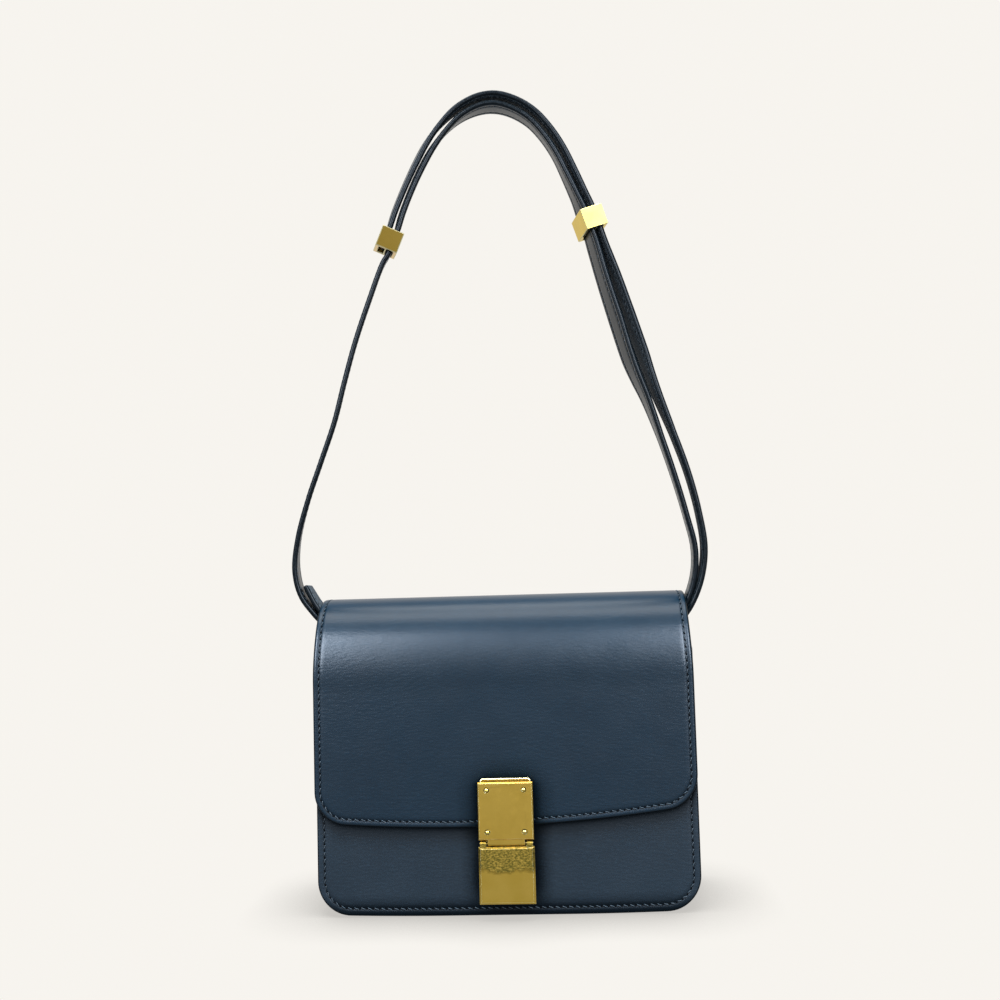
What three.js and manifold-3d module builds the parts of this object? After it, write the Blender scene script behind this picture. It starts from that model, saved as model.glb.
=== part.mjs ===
// A small leather box bag that hangs from its shoulder strap.
// Millimetres, +Z up, +X to the right and the front at -Y. The origin is where the strap hangs.
import * as THREE from "three";
import { mergeVertices } from "three/addons/utils/BufferGeometryUtils.js";
import Module from "manifold-3d";

const wasm = await Module();
wasm.setup();

// Driving dimensions of the body
const bagWidth = 191.6;
const bagHeight = 157.5;
const baseHalfDepth = 34;
const shoulderHalfDepth = 28.7; // the panels lean in to this where the top starts to round
const crownRise = 40; // height over which the top rounds from upright to flat
const crownRoundness = 2.4; // 2 is an ellipse, more is squarer
const panelBelowTop = 20.5; // from the bag's top down to the panels' upper edges
const panelThickness = 2.2;
const leftCornerRadius = 16.5;
const rightCornerRadius = 17;
const shoulderRadius = 8;
const bottomFlat = 60; // level stretch in the middle of the bottom
const bottomBow = 1.2; // how far the bottom rises from there to its sides
const seamGap = 0.3; // between two layers that are sewn together

// Gusset: one strip round the sides and the bottom, its sides folded in
const gussetThickness = 1.6;
const flangeWidth = 8;
const pleatDepth = 16;
const pleatFloorShare = 0.5; // share of the depth that the fold's flat floor takes
const pleatStart = 26; // height where the fold begins
const pleatFull = 104; // height from where it has its full depth
const gussetCornerDrop = 9; // how far its upper corners lie below the panels' upper edges
const gussetFlangeDrop = 6;
const gussetFloorBelowTop = 10; // from the bag's top down to the fold's upper edge

// Flap: from its seam on the back panel over the top and down the front
const flapInset = 1.1; // how far each side lies inside the panels' sides, on top
const flapFlare = 1.3; // how much further out each side is below the rounded top
const flapShift = -0.3; // the flap sits a little left of the middle
const flapThickness = 3;
const flapClearance = 0.5;
const flapSeamDrop = 10; // how far down the back the flap is sewn on, below the rounded top
const flapEdgeHeight = 44;
const flapEdgeBow = 6; // how far the lower edge rises to its sides
const flapEdgeSkew = 2.8; // how much more it rises on the right than on the left
const flapCornerRadius = 15;

// Clasp
const claspShift = 0.15; // the clasp sits a little right of the middle
const hingeHeight = 36.7; // along the face, from the bag's bottom edge
const hingeBehindFace = 1.6; // from the clasp's front face back to the pin's axis
const hingeRadius = 1.25;
const pinRadius = 0.6;
const pinClearance = 0.25;
const tongueWidth = 18.3;
const claspPlateWidth = 27.2;
const claspPlateHeight = 28;
const claspPlateThickness = 3.8;
const claspPlateDrop = 1.8; // from the plate's lower edge down to the pin's axis
const claspBevel = 0.5;
const backPlateWidth = 25.3;
const backPlateShow = 1.5; // how far it stands above the front plate
const backPlateOverlap = 25;
const backPlateThickness = 1.5;
const backPlateCorner = 1;
const leverWidth = 27.7;
const leverHeight = 27.8;
const leverThickness = 3.6;
const leverDrop = 1.5; // from the pin's axis down to the lever's top edge
const leverBevel = 1;
const lugWidth = 3;
const rivetRadius = 1.1;
const rivetDome = 0.55;
const rivetAcross = 18.4;
const rivetUp = 20.4;
const rivetBelowTop = 3.7;
const catchWidth = 14;
const catchHeight = 16;
const catchHeightAboveBase = 14;
const metalGap = 0.3; // between two hard pieces that touch

// Strap
const strapWidth = 18;
const strapThickness = 2.8;
const archBulge = 13.6; // how far the strap's arch bulges past the body on each side
const strapRise = 281.25; // from the bars up to the middle of the outer layer
const endInKeeper = 3.5; // how far past the keeper's middle the strap's free end reaches
const tabBeyond = 3.5; // how far the folded-back tab reaches past the route's second row

// Bars that carry the strap, on brackets in the folds of the gusset
const barBelowTop = 15.5; // from the bag's top down to the bar's axis
const barRadius = 1.4;
const barOut = 7.2; // from the fold's floor to the bar's axis
const bracketThickness = 1.5;
const bracketHeight = 15;
const bracketBelowBar = 11; // from the bar's axis down to the plate's lower edge
const earReach = 2.6; // how far an ear reaches past the bar's axis
const earHeight = 7;

// Sliding keepers
const keeperHeight = 11.2;
const keeperWall = 2.15;
const keeperDivider = 1;
const strapPlay = 0.3; // room round the strap inside a keeper

// The strap's route on the bag's middle plane, from the left bar to the right one. x is a share of
// archHalfWidth and rise of strapRise above the bars. apart is the spacing of the two layers as a
// share of their spacing in a keeper, and lean the degrees by which the back edge leans out of the arch.
const leftRun = [
  { x: -0.907, rise: 0.029, lean: 0 },
  { x: -0.978, rise: 0.065, lean: 5 },
  { x: -1.006, rise: 0.112, lean: 6 },
  { x: -0.994, rise: 0.169, lean: 10 },
  { x: -0.943, rise: 0.242, lean: 12 },
  { x: -0.872, rise: 0.317, lean: 12 },
  { x: -0.801, rise: 0.392, lean: 12 },
  { x: -0.747, rise: 0.467, lean: 12 },
  { x: -0.689, rise: 0.542, lean: 12 },
  { x: -0.619, rise: 0.617, lean: 12 },
  { x: -0.543, rise: 0.691, lean: 12 },
];
const leftKeeperSpot = { x: -0.492, rise: 0.729, apart: 1, lean: 13 };
const crown = [
  { x: -0.441, rise: 0.784, apart: 0.93, lean: 15 },
  { x: -0.387, rise: 0.834, apart: 0.87, lean: 16 },
  { x: -0.334, rise: 0.875, apart: 0.87, lean: 17 },
  { x: -0.28, rise: 0.91, apart: 0.93, lean: 17 },
  { x: -0.215, rise: 0.941, apart: 1, lean: 15 },
  { x: -0.137, rise: 0.966, apart: 1.09, lean: 10 },
  { x: -0.045, rise: 0.981, apart: 1.14, lean: 5 },
  { x: 0.03, rise: 0.983, apart: 1.17, lean: 2.5 },
  { x: 0.107, rise: 0.974, apart: 1.18, lean: 2.5 },
  { x: 0.192, rise: 0.953, apart: 1.16, lean: 1.5 },
  { x: 0.263, rise: 0.921, apart: 1.13, lean: 0.5 },
  { x: 0.318, rise: 0.886, apart: 1.1, lean: -1 },
  { x: 0.363, rise: 0.847, apart: 1.07, lean: -3.5 },
  { x: 0.412, rise: 0.801, apart: 1, lean: -7 },
];
const rightKeeperSpot = { x: 0.457, rise: 0.751, apart: 1, lean: -12 };
const rightRun = [
  { x: 0.489, rise: 0.71, apart: 1, lean: -14 },
  { x: 0.532, rise: 0.644, apart: 1.42, lean: -14.5 },
  { x: 0.587, rise: 0.568, apart: 1.6, lean: -16.5 },
  { x: 0.643, rise: 0.491, apart: 1.77, lean: -14.5 },
  { x: 0.679, rise: 0.453, apart: 1.6, lean: -10.5 },
  { x: 0.718, rise: 0.416, apart: 1.42, lean: -6.5 },
  { x: 0.783, rise: 0.341, apart: 1.53, lean: 0 },
  { x: 0.842, rise: 0.266, apart: 1.64, lean: 1 },
  { x: 0.891, rise: 0.194, apart: 1.5, lean: 1.5 },
  { x: 0.925, rise: 0.13, apart: 1.13, lean: 1 },
  { x: 0.912, rise: 0.073, apart: 0.82, lean: 1 },
  { x: 0.855, rise: 0.024, apart: 0.71, lean: 0 },
];

// Values that follow from the driving dimensions
const halfWidth = bagWidth / 2;
const archHalfWidth = halfWidth + archBulge;
const flapHalfWidth = halfWidth - flapInset;
const flapBack = flapClearance + flapThickness; // from the panels' faces to the flap's outer face
const crownTop = bagHeight - flapBack;
const crownStart = crownTop - crownRise;
const flapSeamHeight = crownStart - flapSeamDrop;
const panelHeight = bagHeight - panelBelowTop;
const gussetCornerTop = panelHeight - gussetCornerDrop;
const gussetFlangeTop = panelHeight - gussetFlangeDrop;
const gussetFloorTop = bagHeight - gussetFloorBelowTop;
const barHeight = bagHeight - barBelowTop;
const faceLean = Math.atan((baseHalfDepth - shoulderHalfDepth) / crownStart);
const floorX = halfWidth - pleatDepth;
const barX = floorX + barOut;
const layerSpacing = strapThickness + 2 * strapPlay + keeperDivider;
const straightInKeeper = 0.6 * keeperHeight;

// Materials
const calf = new THREE.MeshStandardMaterial({ color: 0x233544, roughness: 0.42, metalness: 0 });
const sideCalf = new THREE.MeshStandardMaterial({ color: 0x2b3a48, roughness: 0.5, metalness: 0 });
const strapCalf = new THREE.MeshStandardMaterial({ color: 0x222c3a, roughness: 0.48, metalness: 0 });
const brass = new THREE.MeshStandardMaterial({ color: 0xb4984e, roughness: 0.22, metalness: 1 });

function part(name, geometry, material) {
  const mesh = new THREE.Mesh(geometry, material);
  mesh.name = name;
  return mesh;
}

// Average of the unit normals of the faces that meet at grid point i, j.
function meanNormal(grid, i, j) {
  const sum = new THREE.Vector3();
  let faces = 0;
  for (const a of [i - 1, i]) {
    for (const b of [j - 1, j]) {
      if (a < 0 || b < 0 || a + 1 >= grid.length || b + 1 >= grid[0].length) continue;
      const one = grid[a + 1][b + 1].clone().sub(grid[a][b]);
      const other = grid[a][b + 1].clone().sub(grid[a + 1][b]);
      sum.add(one.cross(other).normalize());
      faces += 1;
    }
  }
  return sum.divideScalar(faces);
}

// A closed sheet of leather: grid is its outer face, as rows of points, and the wall goes inwards
// from it by the thickness, mitred at its folds.
function leatherSheet(grid, thickness) {
  const rows = grid.length;
  const columns = grid[0].length;
  const positions = [];
  for (const row of grid) row.forEach((p) => positions.push(p.x, p.y, p.z));
  grid.forEach((row, i) => {
    row.forEach((p, j) => {
      const normal = meanNormal(grid, i, j);
      const inner = p.clone().addScaledVector(normal, -thickness / normal.lengthSq());
      positions.push(inner.x, inner.y, inner.z);
    });
  });
  const inside = rows * columns;
  const index = [];
  const quad = (a, b, c, d) => index.push(a, b, c, a, c, d);
  for (let i = 0; i + 1 < rows; i++) {
    for (let j = 0; j + 1 < columns; j++) {
      const a = i * columns + j;
      const b = a + columns;
      quad(a, b, b + 1, a + 1);
      quad(inside + a, inside + a + 1, inside + b + 1, inside + b);
    }
  }
  const rim = [];
  for (let i = 0; i < rows - 1; i++) rim.push(i * columns);
  for (let j = 0; j < columns - 1; j++) rim.push((rows - 1) * columns + j);
  for (let i = rows - 1; i > 0; i--) rim.push(i * columns + columns - 1);
  for (let j = columns - 1; j > 0; j--) rim.push(j);
  rim.forEach((p, k) => {
    const q = rim[(k + 1) % rim.length];
    quad(q, p, inside + p, inside + q);
  });
  const geometry = new THREE.BufferGeometry();
  geometry.setAttribute("position", new THREE.Float32BufferAttribute(positions, 3));
  geometry.setIndex(index);
  return geometry;
}

function solidOf(geometry) {
  const bare = geometry.clone();
  bare.deleteAttribute("normal");
  bare.deleteAttribute("uv");
  const merged = mergeVertices(bare, 1e-4);
  return new wasm.Manifold(
    new wasm.Mesh({
      numProp: 3,
      vertProperties: merged.attributes.position.array,
      triVerts: new Uint32Array(merged.index.array),
    }),
  );
}

function geometryOf(solid) {
  const mesh = solid.getMesh();
  const points = [];
  for (let v = 0; v < mesh.numVert; v++) {
    const start = v * mesh.numProp;
    points.push(...mesh.vertProperties.slice(start, start + 3));
  }
  const geometry = new THREE.BufferGeometry();
  geometry.setAttribute("position", new THREE.Float32BufferAttribute(points, 3));
  geometry.setIndex([...mesh.triVerts]);
  return geometry;
}

// Several closed geometries joined into one.
function joined(geometries) {
  return geometryOf(geometries.map(solidOf).reduce((all, one) => all.add(one)));
}

// One closed geometry with others cut out of it.
function cut(geometry, tools) {
  return geometryOf(tools.map(solidOf).reduce((rest, tool) => rest.subtract(tool), solidOf(geometry)));
}

// Half the body's depth at a height, to the panels' outer faces.
function bodyHalfDepth(z) {
  if (z <= crownStart) return baseHalfDepth + ((shoulderHalfDepth - baseHalfDepth) * z) / crownStart;
  const up = Math.min((z - crownStart) / crownRise, 1);
  return shoulderHalfDepth * (1 - up ** crownRoundness) ** (1 / crownRoundness);
}

// Half the depth to what lies behind a panel, measured square to the panel.
function seamHalfDepth(z) {
  const step = 0.5;
  const slope = (bodyHalfDepth(z - step) - bodyHalfDepth(z + step)) / (2 * step);
  return bodyHalfDepth(z) - (panelThickness + seamGap) * Math.hypot(1, slope);
}

// How far a rounded corner cuts in at a distance from the edge.
function cornerLift(fromEdge, radius) {
  if (fromEdge >= radius) return 0;
  return radius - Math.sqrt(radius ** 2 - (radius - fromEdge) ** 2);
}

function bottomEdge(x) {
  const past = Math.max(0, Math.abs(x) - bottomFlat / 2) / (halfWidth - bottomFlat / 2);
  return bottomBow * past ** 2;
}

// Places across a sheet, closer together round its two lower corners.
function columnsAcross(half, leftRadius, rightRadius, cornerSteps, middleSteps) {
  const turn = (k) => 1 - Math.cos((k / cornerSteps) * (Math.PI / 2));
  const xs = [];
  for (let k = 0; k < cornerSteps; k++) xs.push(-half + leftRadius * turn(k));
  for (let k = 0; k <= middleSteps; k++) {
    xs.push(THREE.MathUtils.lerp(-half + leftRadius, half - rightRadius, k / middleSteps));
  }
  for (let k = cornerSteps - 1; k >= 0; k--) xs.push(half - rightRadius * turn(k));
  return xs;
}

// Front or back panel. side is -1 for the front and 1 for the back.
function panel(side) {
  const upSteps = 9;
  const xs = columnsAcross(halfWidth, leftCornerRadius, rightCornerRadius, 5, 4);
  const ordered = side < 0 ? xs : xs.reverse();
  const grid = ordered.map((x) => {
    const fromEdge = halfWidth - Math.abs(x);
    const radius = x < 0 ? leftCornerRadius : rightCornerRadius;
    const low = bottomEdge(x) + cornerLift(fromEdge, radius);
    const high = panelHeight - cornerLift(fromEdge, shoulderRadius);
    const bendStart = Math.min(crownStart, high - shoulderRadius);
    const column = [low];
    for (let k = 0; k <= upSteps; k++) column.push(THREE.MathUtils.lerp(bendStart, high, k / upSteps));
    return column.map((z) => new THREE.Vector3(x, side * bodyHalfDepth(z), z));
  });
  return leatherSheet(grid, panelThickness);
}

// Stations of the gusset's outer face, from the right top round the bottom to the left top. Each has
// a place, the direction into the bag, and for the sides its level between the corner and the top.
function gussetStations() {
  const sideLevels = [1, 0.82, 0.64, 0.46, 0.3, 0.14];
  const cornerSteps = 5;
  const stations = [];
  for (const level of sideLevels) {
    stations.push({ x: halfWidth, z: rightCornerRadius, inX: -1, inZ: 0, level });
  }
  for (let k = 0; k <= cornerSteps; k++) {
    const turn = (k / cornerSteps) * (Math.PI / 2);
    const centre = halfWidth - rightCornerRadius;
    const x = centre + rightCornerRadius * Math.cos(turn);
    const z = rightCornerRadius * (1 - Math.sin(turn));
    stations.push({ x, z, inX: -Math.cos(turn), inZ: Math.sin(turn), level: 0 });
  }
  for (const x of [bottomFlat / 2, -bottomFlat / 2]) {
    stations.push({ x, z: 0, inX: 0, inZ: 1, level: 0 });
  }
  for (let k = 0; k <= cornerSteps; k++) {
    const turn = Math.PI / 2 - (k / cornerSteps) * (Math.PI / 2);
    const centre = -halfWidth + leftCornerRadius;
    const x = centre - leftCornerRadius * Math.cos(turn);
    const z = leftCornerRadius * (1 - Math.sin(turn));
    stations.push({ x, z, inX: Math.cos(turn), inZ: Math.sin(turn), level: 0 });
  }
  for (const level of [...sideLevels].reverse()) {
    stations.push({ x: -halfWidth, z: leftCornerRadius, inX: 1, inZ: 0, level });
  }
  return stations;
}

function gusset() {
  // across is a share of the half depth, and top the height that the column reaches
  const columns = [
    { across: -1, fold: 0, flange: 1, top: gussetFlangeTop },
    { across: -1, fold: 0, flange: 0, top: gussetCornerTop },
    { across: -pleatFloorShare, fold: 1, flange: 0, top: gussetFloorTop },
    { across: pleatFloorShare, fold: 1, flange: 0, top: gussetFloorTop },
    { across: 1, fold: 0, flange: 0, top: gussetCornerTop },
    { across: 1, fold: 0, flange: 1, top: gussetFlangeTop },
  ];
  const grid = gussetStations().map((station) => {
    return columns.map((column) => {
      const base = station.z + bottomEdge(station.x);
      const z = THREE.MathUtils.lerp(base, column.top, station.level);
      const fold = THREE.MathUtils.smoothstep(z, pleatStart, pleatFull) * column.fold;
      const inwards = fold * pleatDepth + column.flange * flangeWidth;
      const placeZ = z + station.inZ * inwards;
      const half = seamHalfDepth(column.fold ? Math.min(placeZ, gussetCornerTop) : placeZ);
      return new THREE.Vector3(station.x + station.inX * inwards, column.across * half, placeZ);
    });
  });
  return leatherSheet(grid, gussetThickness);
}

// The body's side profile as points in Y and Z with outward normals, from the back seam over the top.
function flapProfile() {
  const crownSteps = 18;
  const frontSteps = 3;
  const heights = [flapSeamHeight];
  for (let k = 0; k <= crownSteps; k++) {
    const turn = Math.sin((k / crownSteps) * (Math.PI / 2));
    heights.push(crownStart + crownRise * turn);
  }
  const back = heights.map((z) => ({ y: bodyHalfDepth(z), z }));
  const front = back.slice(1, -1).reverse().map((p) => ({ y: -p.y, z: p.z }));
  const points = [...back, ...front];
  for (let k = 1; k <= frontSteps; k++) {
    const z = THREE.MathUtils.lerp(crownStart, flapEdgeHeight, k / frontSteps);
    points.push({ y: -bodyHalfDepth(z), z, low: k / frontSteps });
  }
  return points.map((p, k) => {
    const before = points[Math.max(k - 1, 0)];
    const after = points[Math.min(k + 1, points.length - 1)];
    const along = new THREE.Vector2(after.y - before.y, after.z - before.z).normalize();
    return { ...p, ny: along.y, nz: -along.x, low: p.low || 0 };
  });
}

// Height of the flap's lower edge across its width.
function flapEdge(x) {
  const share = x / flapHalfWidth;
  const rise = flapEdgeBow * share ** 2 + flapEdgeSkew * share;
  return flapEdgeHeight + rise + cornerLift(flapHalfWidth - Math.abs(x), flapCornerRadius);
}

// Share of the flare at a point of the profile: none on the back and on top, all of it on the front.
function flareShare(p) {
  return p.y < 0 ? 1 - THREE.MathUtils.smoothstep(p.z, crownStart, crownTop) : 0;
}

function flap() {
  const xs = columnsAcross(flapHalfWidth, flapCornerRadius, flapCornerRadius, 5, 10);
  const grid = flapProfile().map((p) => {
    const wider = 1 + (flapFlare * flareShare(p)) / flapHalfWidth;
    return xs.map((x) => {
      const z = p.low ? THREE.MathUtils.lerp(crownStart, flapEdge(x), p.low) : p.z;
      const y = p.low ? -bodyHalfDepth(z) : p.y;
      return new THREE.Vector3(x * wider + flapShift, y + p.ny * flapBack, z + p.nz * flapBack);
    });
  });
  return leatherSheet(grid, flapThickness);
}

// A row of the route table as a place on the bag's middle plane.
function placeOf(row) {
  return new THREE.Vector3(row.x * archHalfWidth, 0, barHeight + row.rise * strapRise);
}

// The strap's own directions on a stretch that runs along the tangent: along, its width and the
// normal, out of the arch when the stretch runs from left to right. Lean tips its back edge that way.
function strapFrame(tangent, lean) {
  const along = new THREE.Vector3(tangent.x, 0, tangent.z).normalize();
  const normal = new THREE.Vector3(-along.z, 0, along.x);
  const angle = THREE.MathUtils.degToRad(lean);
  const across = new THREE.Vector3(0, Math.cos(angle), 0);
  across.addScaledVector(normal, Math.sin(angle));
  return { along, across, normal: along.clone().cross(across) };
}

// The inner layer's knots: each row's place with the strap's directions there. Each keeper's row
// becomes three in line, because the strap runs straight through it.
function innerKnots() {
  const rows = [...leftRun, leftKeeperSpot, ...crown, rightKeeperSpot, ...rightRun];
  const places = rows.map(placeOf);
  return rows.flatMap((row, k) => {
    const before = places[Math.max(k - 1, 0)];
    const after = places[Math.min(k + 1, rows.length - 1)];
    const frame = strapFrame(after.clone().sub(before), row.lean);
    const knot = { row, lean: row.lean, place: places[k], ...frame };
    if (row !== leftKeeperSpot && row !== rightKeeperSpot) return [knot];
    return [-1, 0, 1].map((end) => {
      const place = knot.place.clone().addScaledVector(knot.along, end * straightInKeeper);
      return { ...knot, place, middle: end === 0 };
    });
  });
}

function keeperKnots() {
  return innerKnots().filter((knot) => knot.middle);
}

// Half a turn of the strap round a bar, from above it to below it. legs is where its runs lie.
function barTurn(x, legs) {
  const turnSteps = 6;
  const radius = barRadius + strapPlay + strapThickness / 2;
  const bar = new THREE.Vector3(x, 0, barHeight);
  const out = legs.clone().sub(bar).normalize();
  const above = new THREE.Vector3(-out.z, 0, out.x).multiplyScalar(Math.sign(x));
  const knots = [];
  for (let k = 0; k <= turnSteps; k++) {
    const turn = (k / turnSteps) * Math.PI;
    const place = bar.clone().addScaledVector(above, radius * Math.cos(turn));
    place.addScaledVector(out, -radius * Math.sin(turn));
    knots.push({ place, lean: 0 });
  }
  return knots;
}

// Every knot of the one long strap: the folded-back tab, the left bar, the inner layer to the right
// bar, and the outer layer back to its end in the left keeper.
function strapKnots() {
  const inner = innerKnots();
  const first = inner[0];
  const last = inner[inner.length - 1];
  const tabSpacing = strapThickness + seamGap;
  const tab = [
    { from: inner[1], spacing: 1.4 * tabSpacing, beyond: tabBeyond },
    { from: first, spacing: 1.12 * tabSpacing, beyond: 0 },
  ].map(({ from, spacing, beyond }) => {
    const place = from.place.clone().addScaledVector(from.along, beyond);
    return { place: place.addScaledVector(from.normal, -spacing), lean: -from.lean };
  });
  const firstKeeper = inner.findIndex((knot) => knot.middle);
  const outer = inner.slice(firstKeeper).map((knot) => {
    const spacing = knot.row.apart * layerSpacing;
    return { place: knot.place.clone().addScaledVector(knot.normal, spacing), lean: -knot.lean };
  });
  const end = {
    place: outer[0].place.clone().addScaledVector(inner[firstKeeper].along, -endInKeeper),
    lean: outer[0].lean,
  };
  const legs = last.place.clone().add(outer[outer.length - 1].place).multiplyScalar(0.5);
  return [
    ...tab,
    ...barTurn(-barX, first.place),
    ...inner,
    ...barTurn(barX, legs),
    ...outer.reverse(),
    end,
  ];
}

// The strap's middle line as closely spaced stations with its directions at each.
function strapStations() {
  const stepLength = 9;
  const knots = strapKnots();
  const curve = new THREE.CatmullRomCurve3(knots.map((knot) => knot.place), false, "centripetal");
  const stations = [];
  for (let k = 0; k + 1 < knots.length; k++) {
    const length = knots[k].place.distanceTo(knots[k + 1].place);
    const steps = Math.max(1, Math.round(length / stepLength));
    for (let j = 0; j < steps; j++) {
      const t = (k + j / steps) / (knots.length - 1);
      const lean = THREE.MathUtils.lerp(knots[k].lean, knots[k + 1].lean, j / steps);
      stations.push({ place: curve.getPoint(t), ...strapFrame(curve.getTangent(t), lean) });
    }
  }
  const last = knots[knots.length - 1];
  stations.push({ place: last.place.clone(), ...strapFrame(curve.getTangent(1), last.lean) });
  return stations;
}

function strap() {
  const grid = strapStations().map(({ place, across, normal }) => {
    const outerFace = place.clone().addScaledVector(normal, strapThickness / 2);
    return [-0.5, 0.5].map((share) => outerFace.clone().addScaledVector(across, share * strapWidth));
  });
  return leatherSheet(grid, strapThickness);
}

// Where the bag hangs: the underside of the inner layer at the top of the arch.
function hangPoint() {
  const inner = innerKnots().map((knot) => knot.place);
  const curve = new THREE.CatmullRomCurve3(inner, false, "centripetal");
  const top = curve.getPoints(400).reduce((best, p) => (p.z > best.z ? p : best));
  return top.add(new THREE.Vector3(0, 0, -strapThickness / 2));
}

function rectangle(width, height) {
  const shape = new THREE.Shape();
  shape.moveTo(-width / 2, -height / 2);
  shape.lineTo(width / 2, -height / 2);
  shape.lineTo(width / 2, height / 2);
  shape.lineTo(-width / 2, height / 2);
  shape.closePath();
  return shape;
}

// A square metal block with a channel for each layer of the strap, centred on its own middle.
function keeperGeometry() {
  const channel = { width: strapWidth + 2 * strapPlay, height: strapThickness + 2 * strapPlay };
  const depth = channel.width + 2 * keeperWall;
  const thickness = 2 * (channel.height + keeperWall) + keeperDivider;
  const shape = rectangle(depth, thickness);
  for (const side of [-1, 1]) {
    const hole = rectangle(channel.width, channel.height).getPoints();
    const lift = (side * layerSpacing) / 2;
    shape.holes.push(new THREE.Path(hole.map((p) => new THREE.Vector2(p.x, p.y + lift))));
  }
  const geometry = new THREE.ExtrudeGeometry(shape, { depth: keeperHeight, bevelEnabled: false });
  return geometry.translate(0, 0, -keeperHeight / 2);
}

// A keeper sits round both layers and follows the strap's lean where it is.
function keeper(name, knot) {
  const mesh = part(name, keeperGeometry(), brass);
  const basis = new THREE.Matrix4().makeBasis(knot.across, knot.normal, knot.along);
  mesh.quaternion.setFromRotationMatrix(basis);
  mesh.position.copy(knot.place).addScaledVector(knot.normal, layerSpacing / 2);
  return mesh;
}

// Bracket in the gusset's fold, with its plate, two ears and the bar in one piece.
function bracket(name, side) {
  const halfWidthIn = strapWidth / 2 + 2 * strapPlay;
  const plateX = floorX + metalGap + bracketThickness / 2;
  const plate = new THREE.BoxGeometry(
    bracketThickness,
    2 * (halfWidthIn + bracketThickness),
    bracketHeight,
  );
  plate.translate(plateX, 0, barHeight - bracketBelowBar + bracketHeight / 2);
  const earLength = barX + earReach - plateX;
  const ears = [-1, 1].map((end) => {
    const ear = new THREE.BoxGeometry(earLength, bracketThickness, earHeight);
    const earY = end * (halfWidthIn + bracketThickness / 2);
    return ear.translate(plateX + earLength / 2, earY, barHeight);
  });
  const bar = new THREE.CylinderGeometry(barRadius, barRadius, 2 * halfWidthIn + bracketThickness, 12);
  bar.translate(barX, 0, barHeight);
  const mesh = part(name, joined([plate, ...ears, bar]), brass);
  mesh.rotation.z = side < 0 ? Math.PI : 0;
  return mesh;
}

// A plate with all its edges chamfered, facing the front: its back is out from the panels' face.
function facePlate(width, height, thickness, chamfer, out, middleUp) {
  const shape = rectangle(width - 2 * chamfer, height - 2 * chamfer);
  const geometry = new THREE.ExtrudeGeometry(shape, {
    depth: thickness - 2 * chamfer,
    bevelEnabled: chamfer > 0,
    bevelThickness: chamfer,
    bevelSize: chamfer,
    bevelSegments: 1,
  });
  geometry.translate(0, 0, chamfer + out);
  return geometry.rotateX(Math.PI / 2).translate(0, 0, middleUp);
}

// An eye round the hinge pin with a web that goes up or down from it.
function hingeEye(up, webLength, from, to) {
  const reach = up * webLength;
  const shape = new THREE.Shape();
  shape.moveTo(-hingeRadius, 0);
  shape.lineTo(-hingeRadius, reach);
  shape.lineTo(hingeRadius, reach);
  shape.lineTo(hingeRadius, 0);
  shape.absarc(0, 0, hingeRadius, 0, -up * Math.PI, up > 0);
  const hole = new THREE.Path();
  hole.absarc(0, 0, pinRadius + pinClearance, 0, 2 * Math.PI, false);
  shape.holes.push(hole);
  const geometry = new THREE.ExtrudeGeometry(shape, {
    depth: to - from,
    bevelEnabled: false,
    curveSegments: 8,
  });
  const turned = new THREE.Matrix4().makeBasis(
    new THREE.Vector3(0, 1, 0),
    new THREE.Vector3(0, 0, 1),
    new THREE.Vector3(1, 0, 0),
  );
  geometry.applyMatrix4(turned);
  return geometry.translate(from, -claspDepths().pin, hingeHeight);
}

// How far the clasp's layers stand out from the panels' face.
function claspDepths() {
  const backPlate = flapBack + metalGap;
  const plate = backPlate + backPlateThickness + metalGap;
  const front = plate + claspPlateThickness;
  return { backPlate, plate, front, lever: front - leverThickness, pin: front - hingeBehindFace };
}

function rivetPlaces() {
  const top = hingeHeight + claspPlateDrop + claspPlateHeight - rivetBelowTop;
  return [0, 1].flatMap((row) => {
    return [-1, 1].map((side) => ({ x: (side * rivetAcross) / 2, z: top - row * rivetUp }));
  });
}

function claspPlate() {
  const { plate } = claspDepths();
  const middle = hingeHeight + claspPlateDrop + claspPlateHeight / 2;
  const bodyPlate = facePlate(
    claspPlateWidth,
    claspPlateHeight,
    claspPlateThickness,
    claspBevel,
    plate,
    middle,
  );
  const webLength = claspPlateDrop + 2 * claspBevel;
  const tongue = hingeEye(1, webLength, -tongueWidth / 2, tongueWidth / 2);
  const holeRadius = rivetRadius + pinClearance;
  const drills = rivetPlaces().map(({ x, z }) => {
    const drill = new THREE.CylinderGeometry(holeRadius, holeRadius, 3 * claspPlateThickness, 16);
    return drill.translate(x, -(plate + claspPlateThickness / 2), z);
  });
  return cut(joined([bodyPlate, tongue]), drills);
}

function rivet(name, { x, z }) {
  const domeSteps = 4;
  const profile = [new THREE.Vector2(0, 0), new THREE.Vector2(rivetRadius, 0)];
  for (let k = 0; k < domeSteps; k++) {
    const turn = (k / domeSteps) * (Math.PI / 2);
    const height = claspPlateThickness + rivetDome * Math.sin(turn);
    profile.push(new THREE.Vector2(rivetRadius * Math.cos(turn), height));
  }
  profile.push(new THREE.Vector2(0, claspPlateThickness + rivetDome));
  const geometry = new THREE.LatheGeometry(profile, 16).rotateX(Math.PI);
  return part(name, geometry.translate(x, -claspDepths().plate, z), brass);
}

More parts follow.
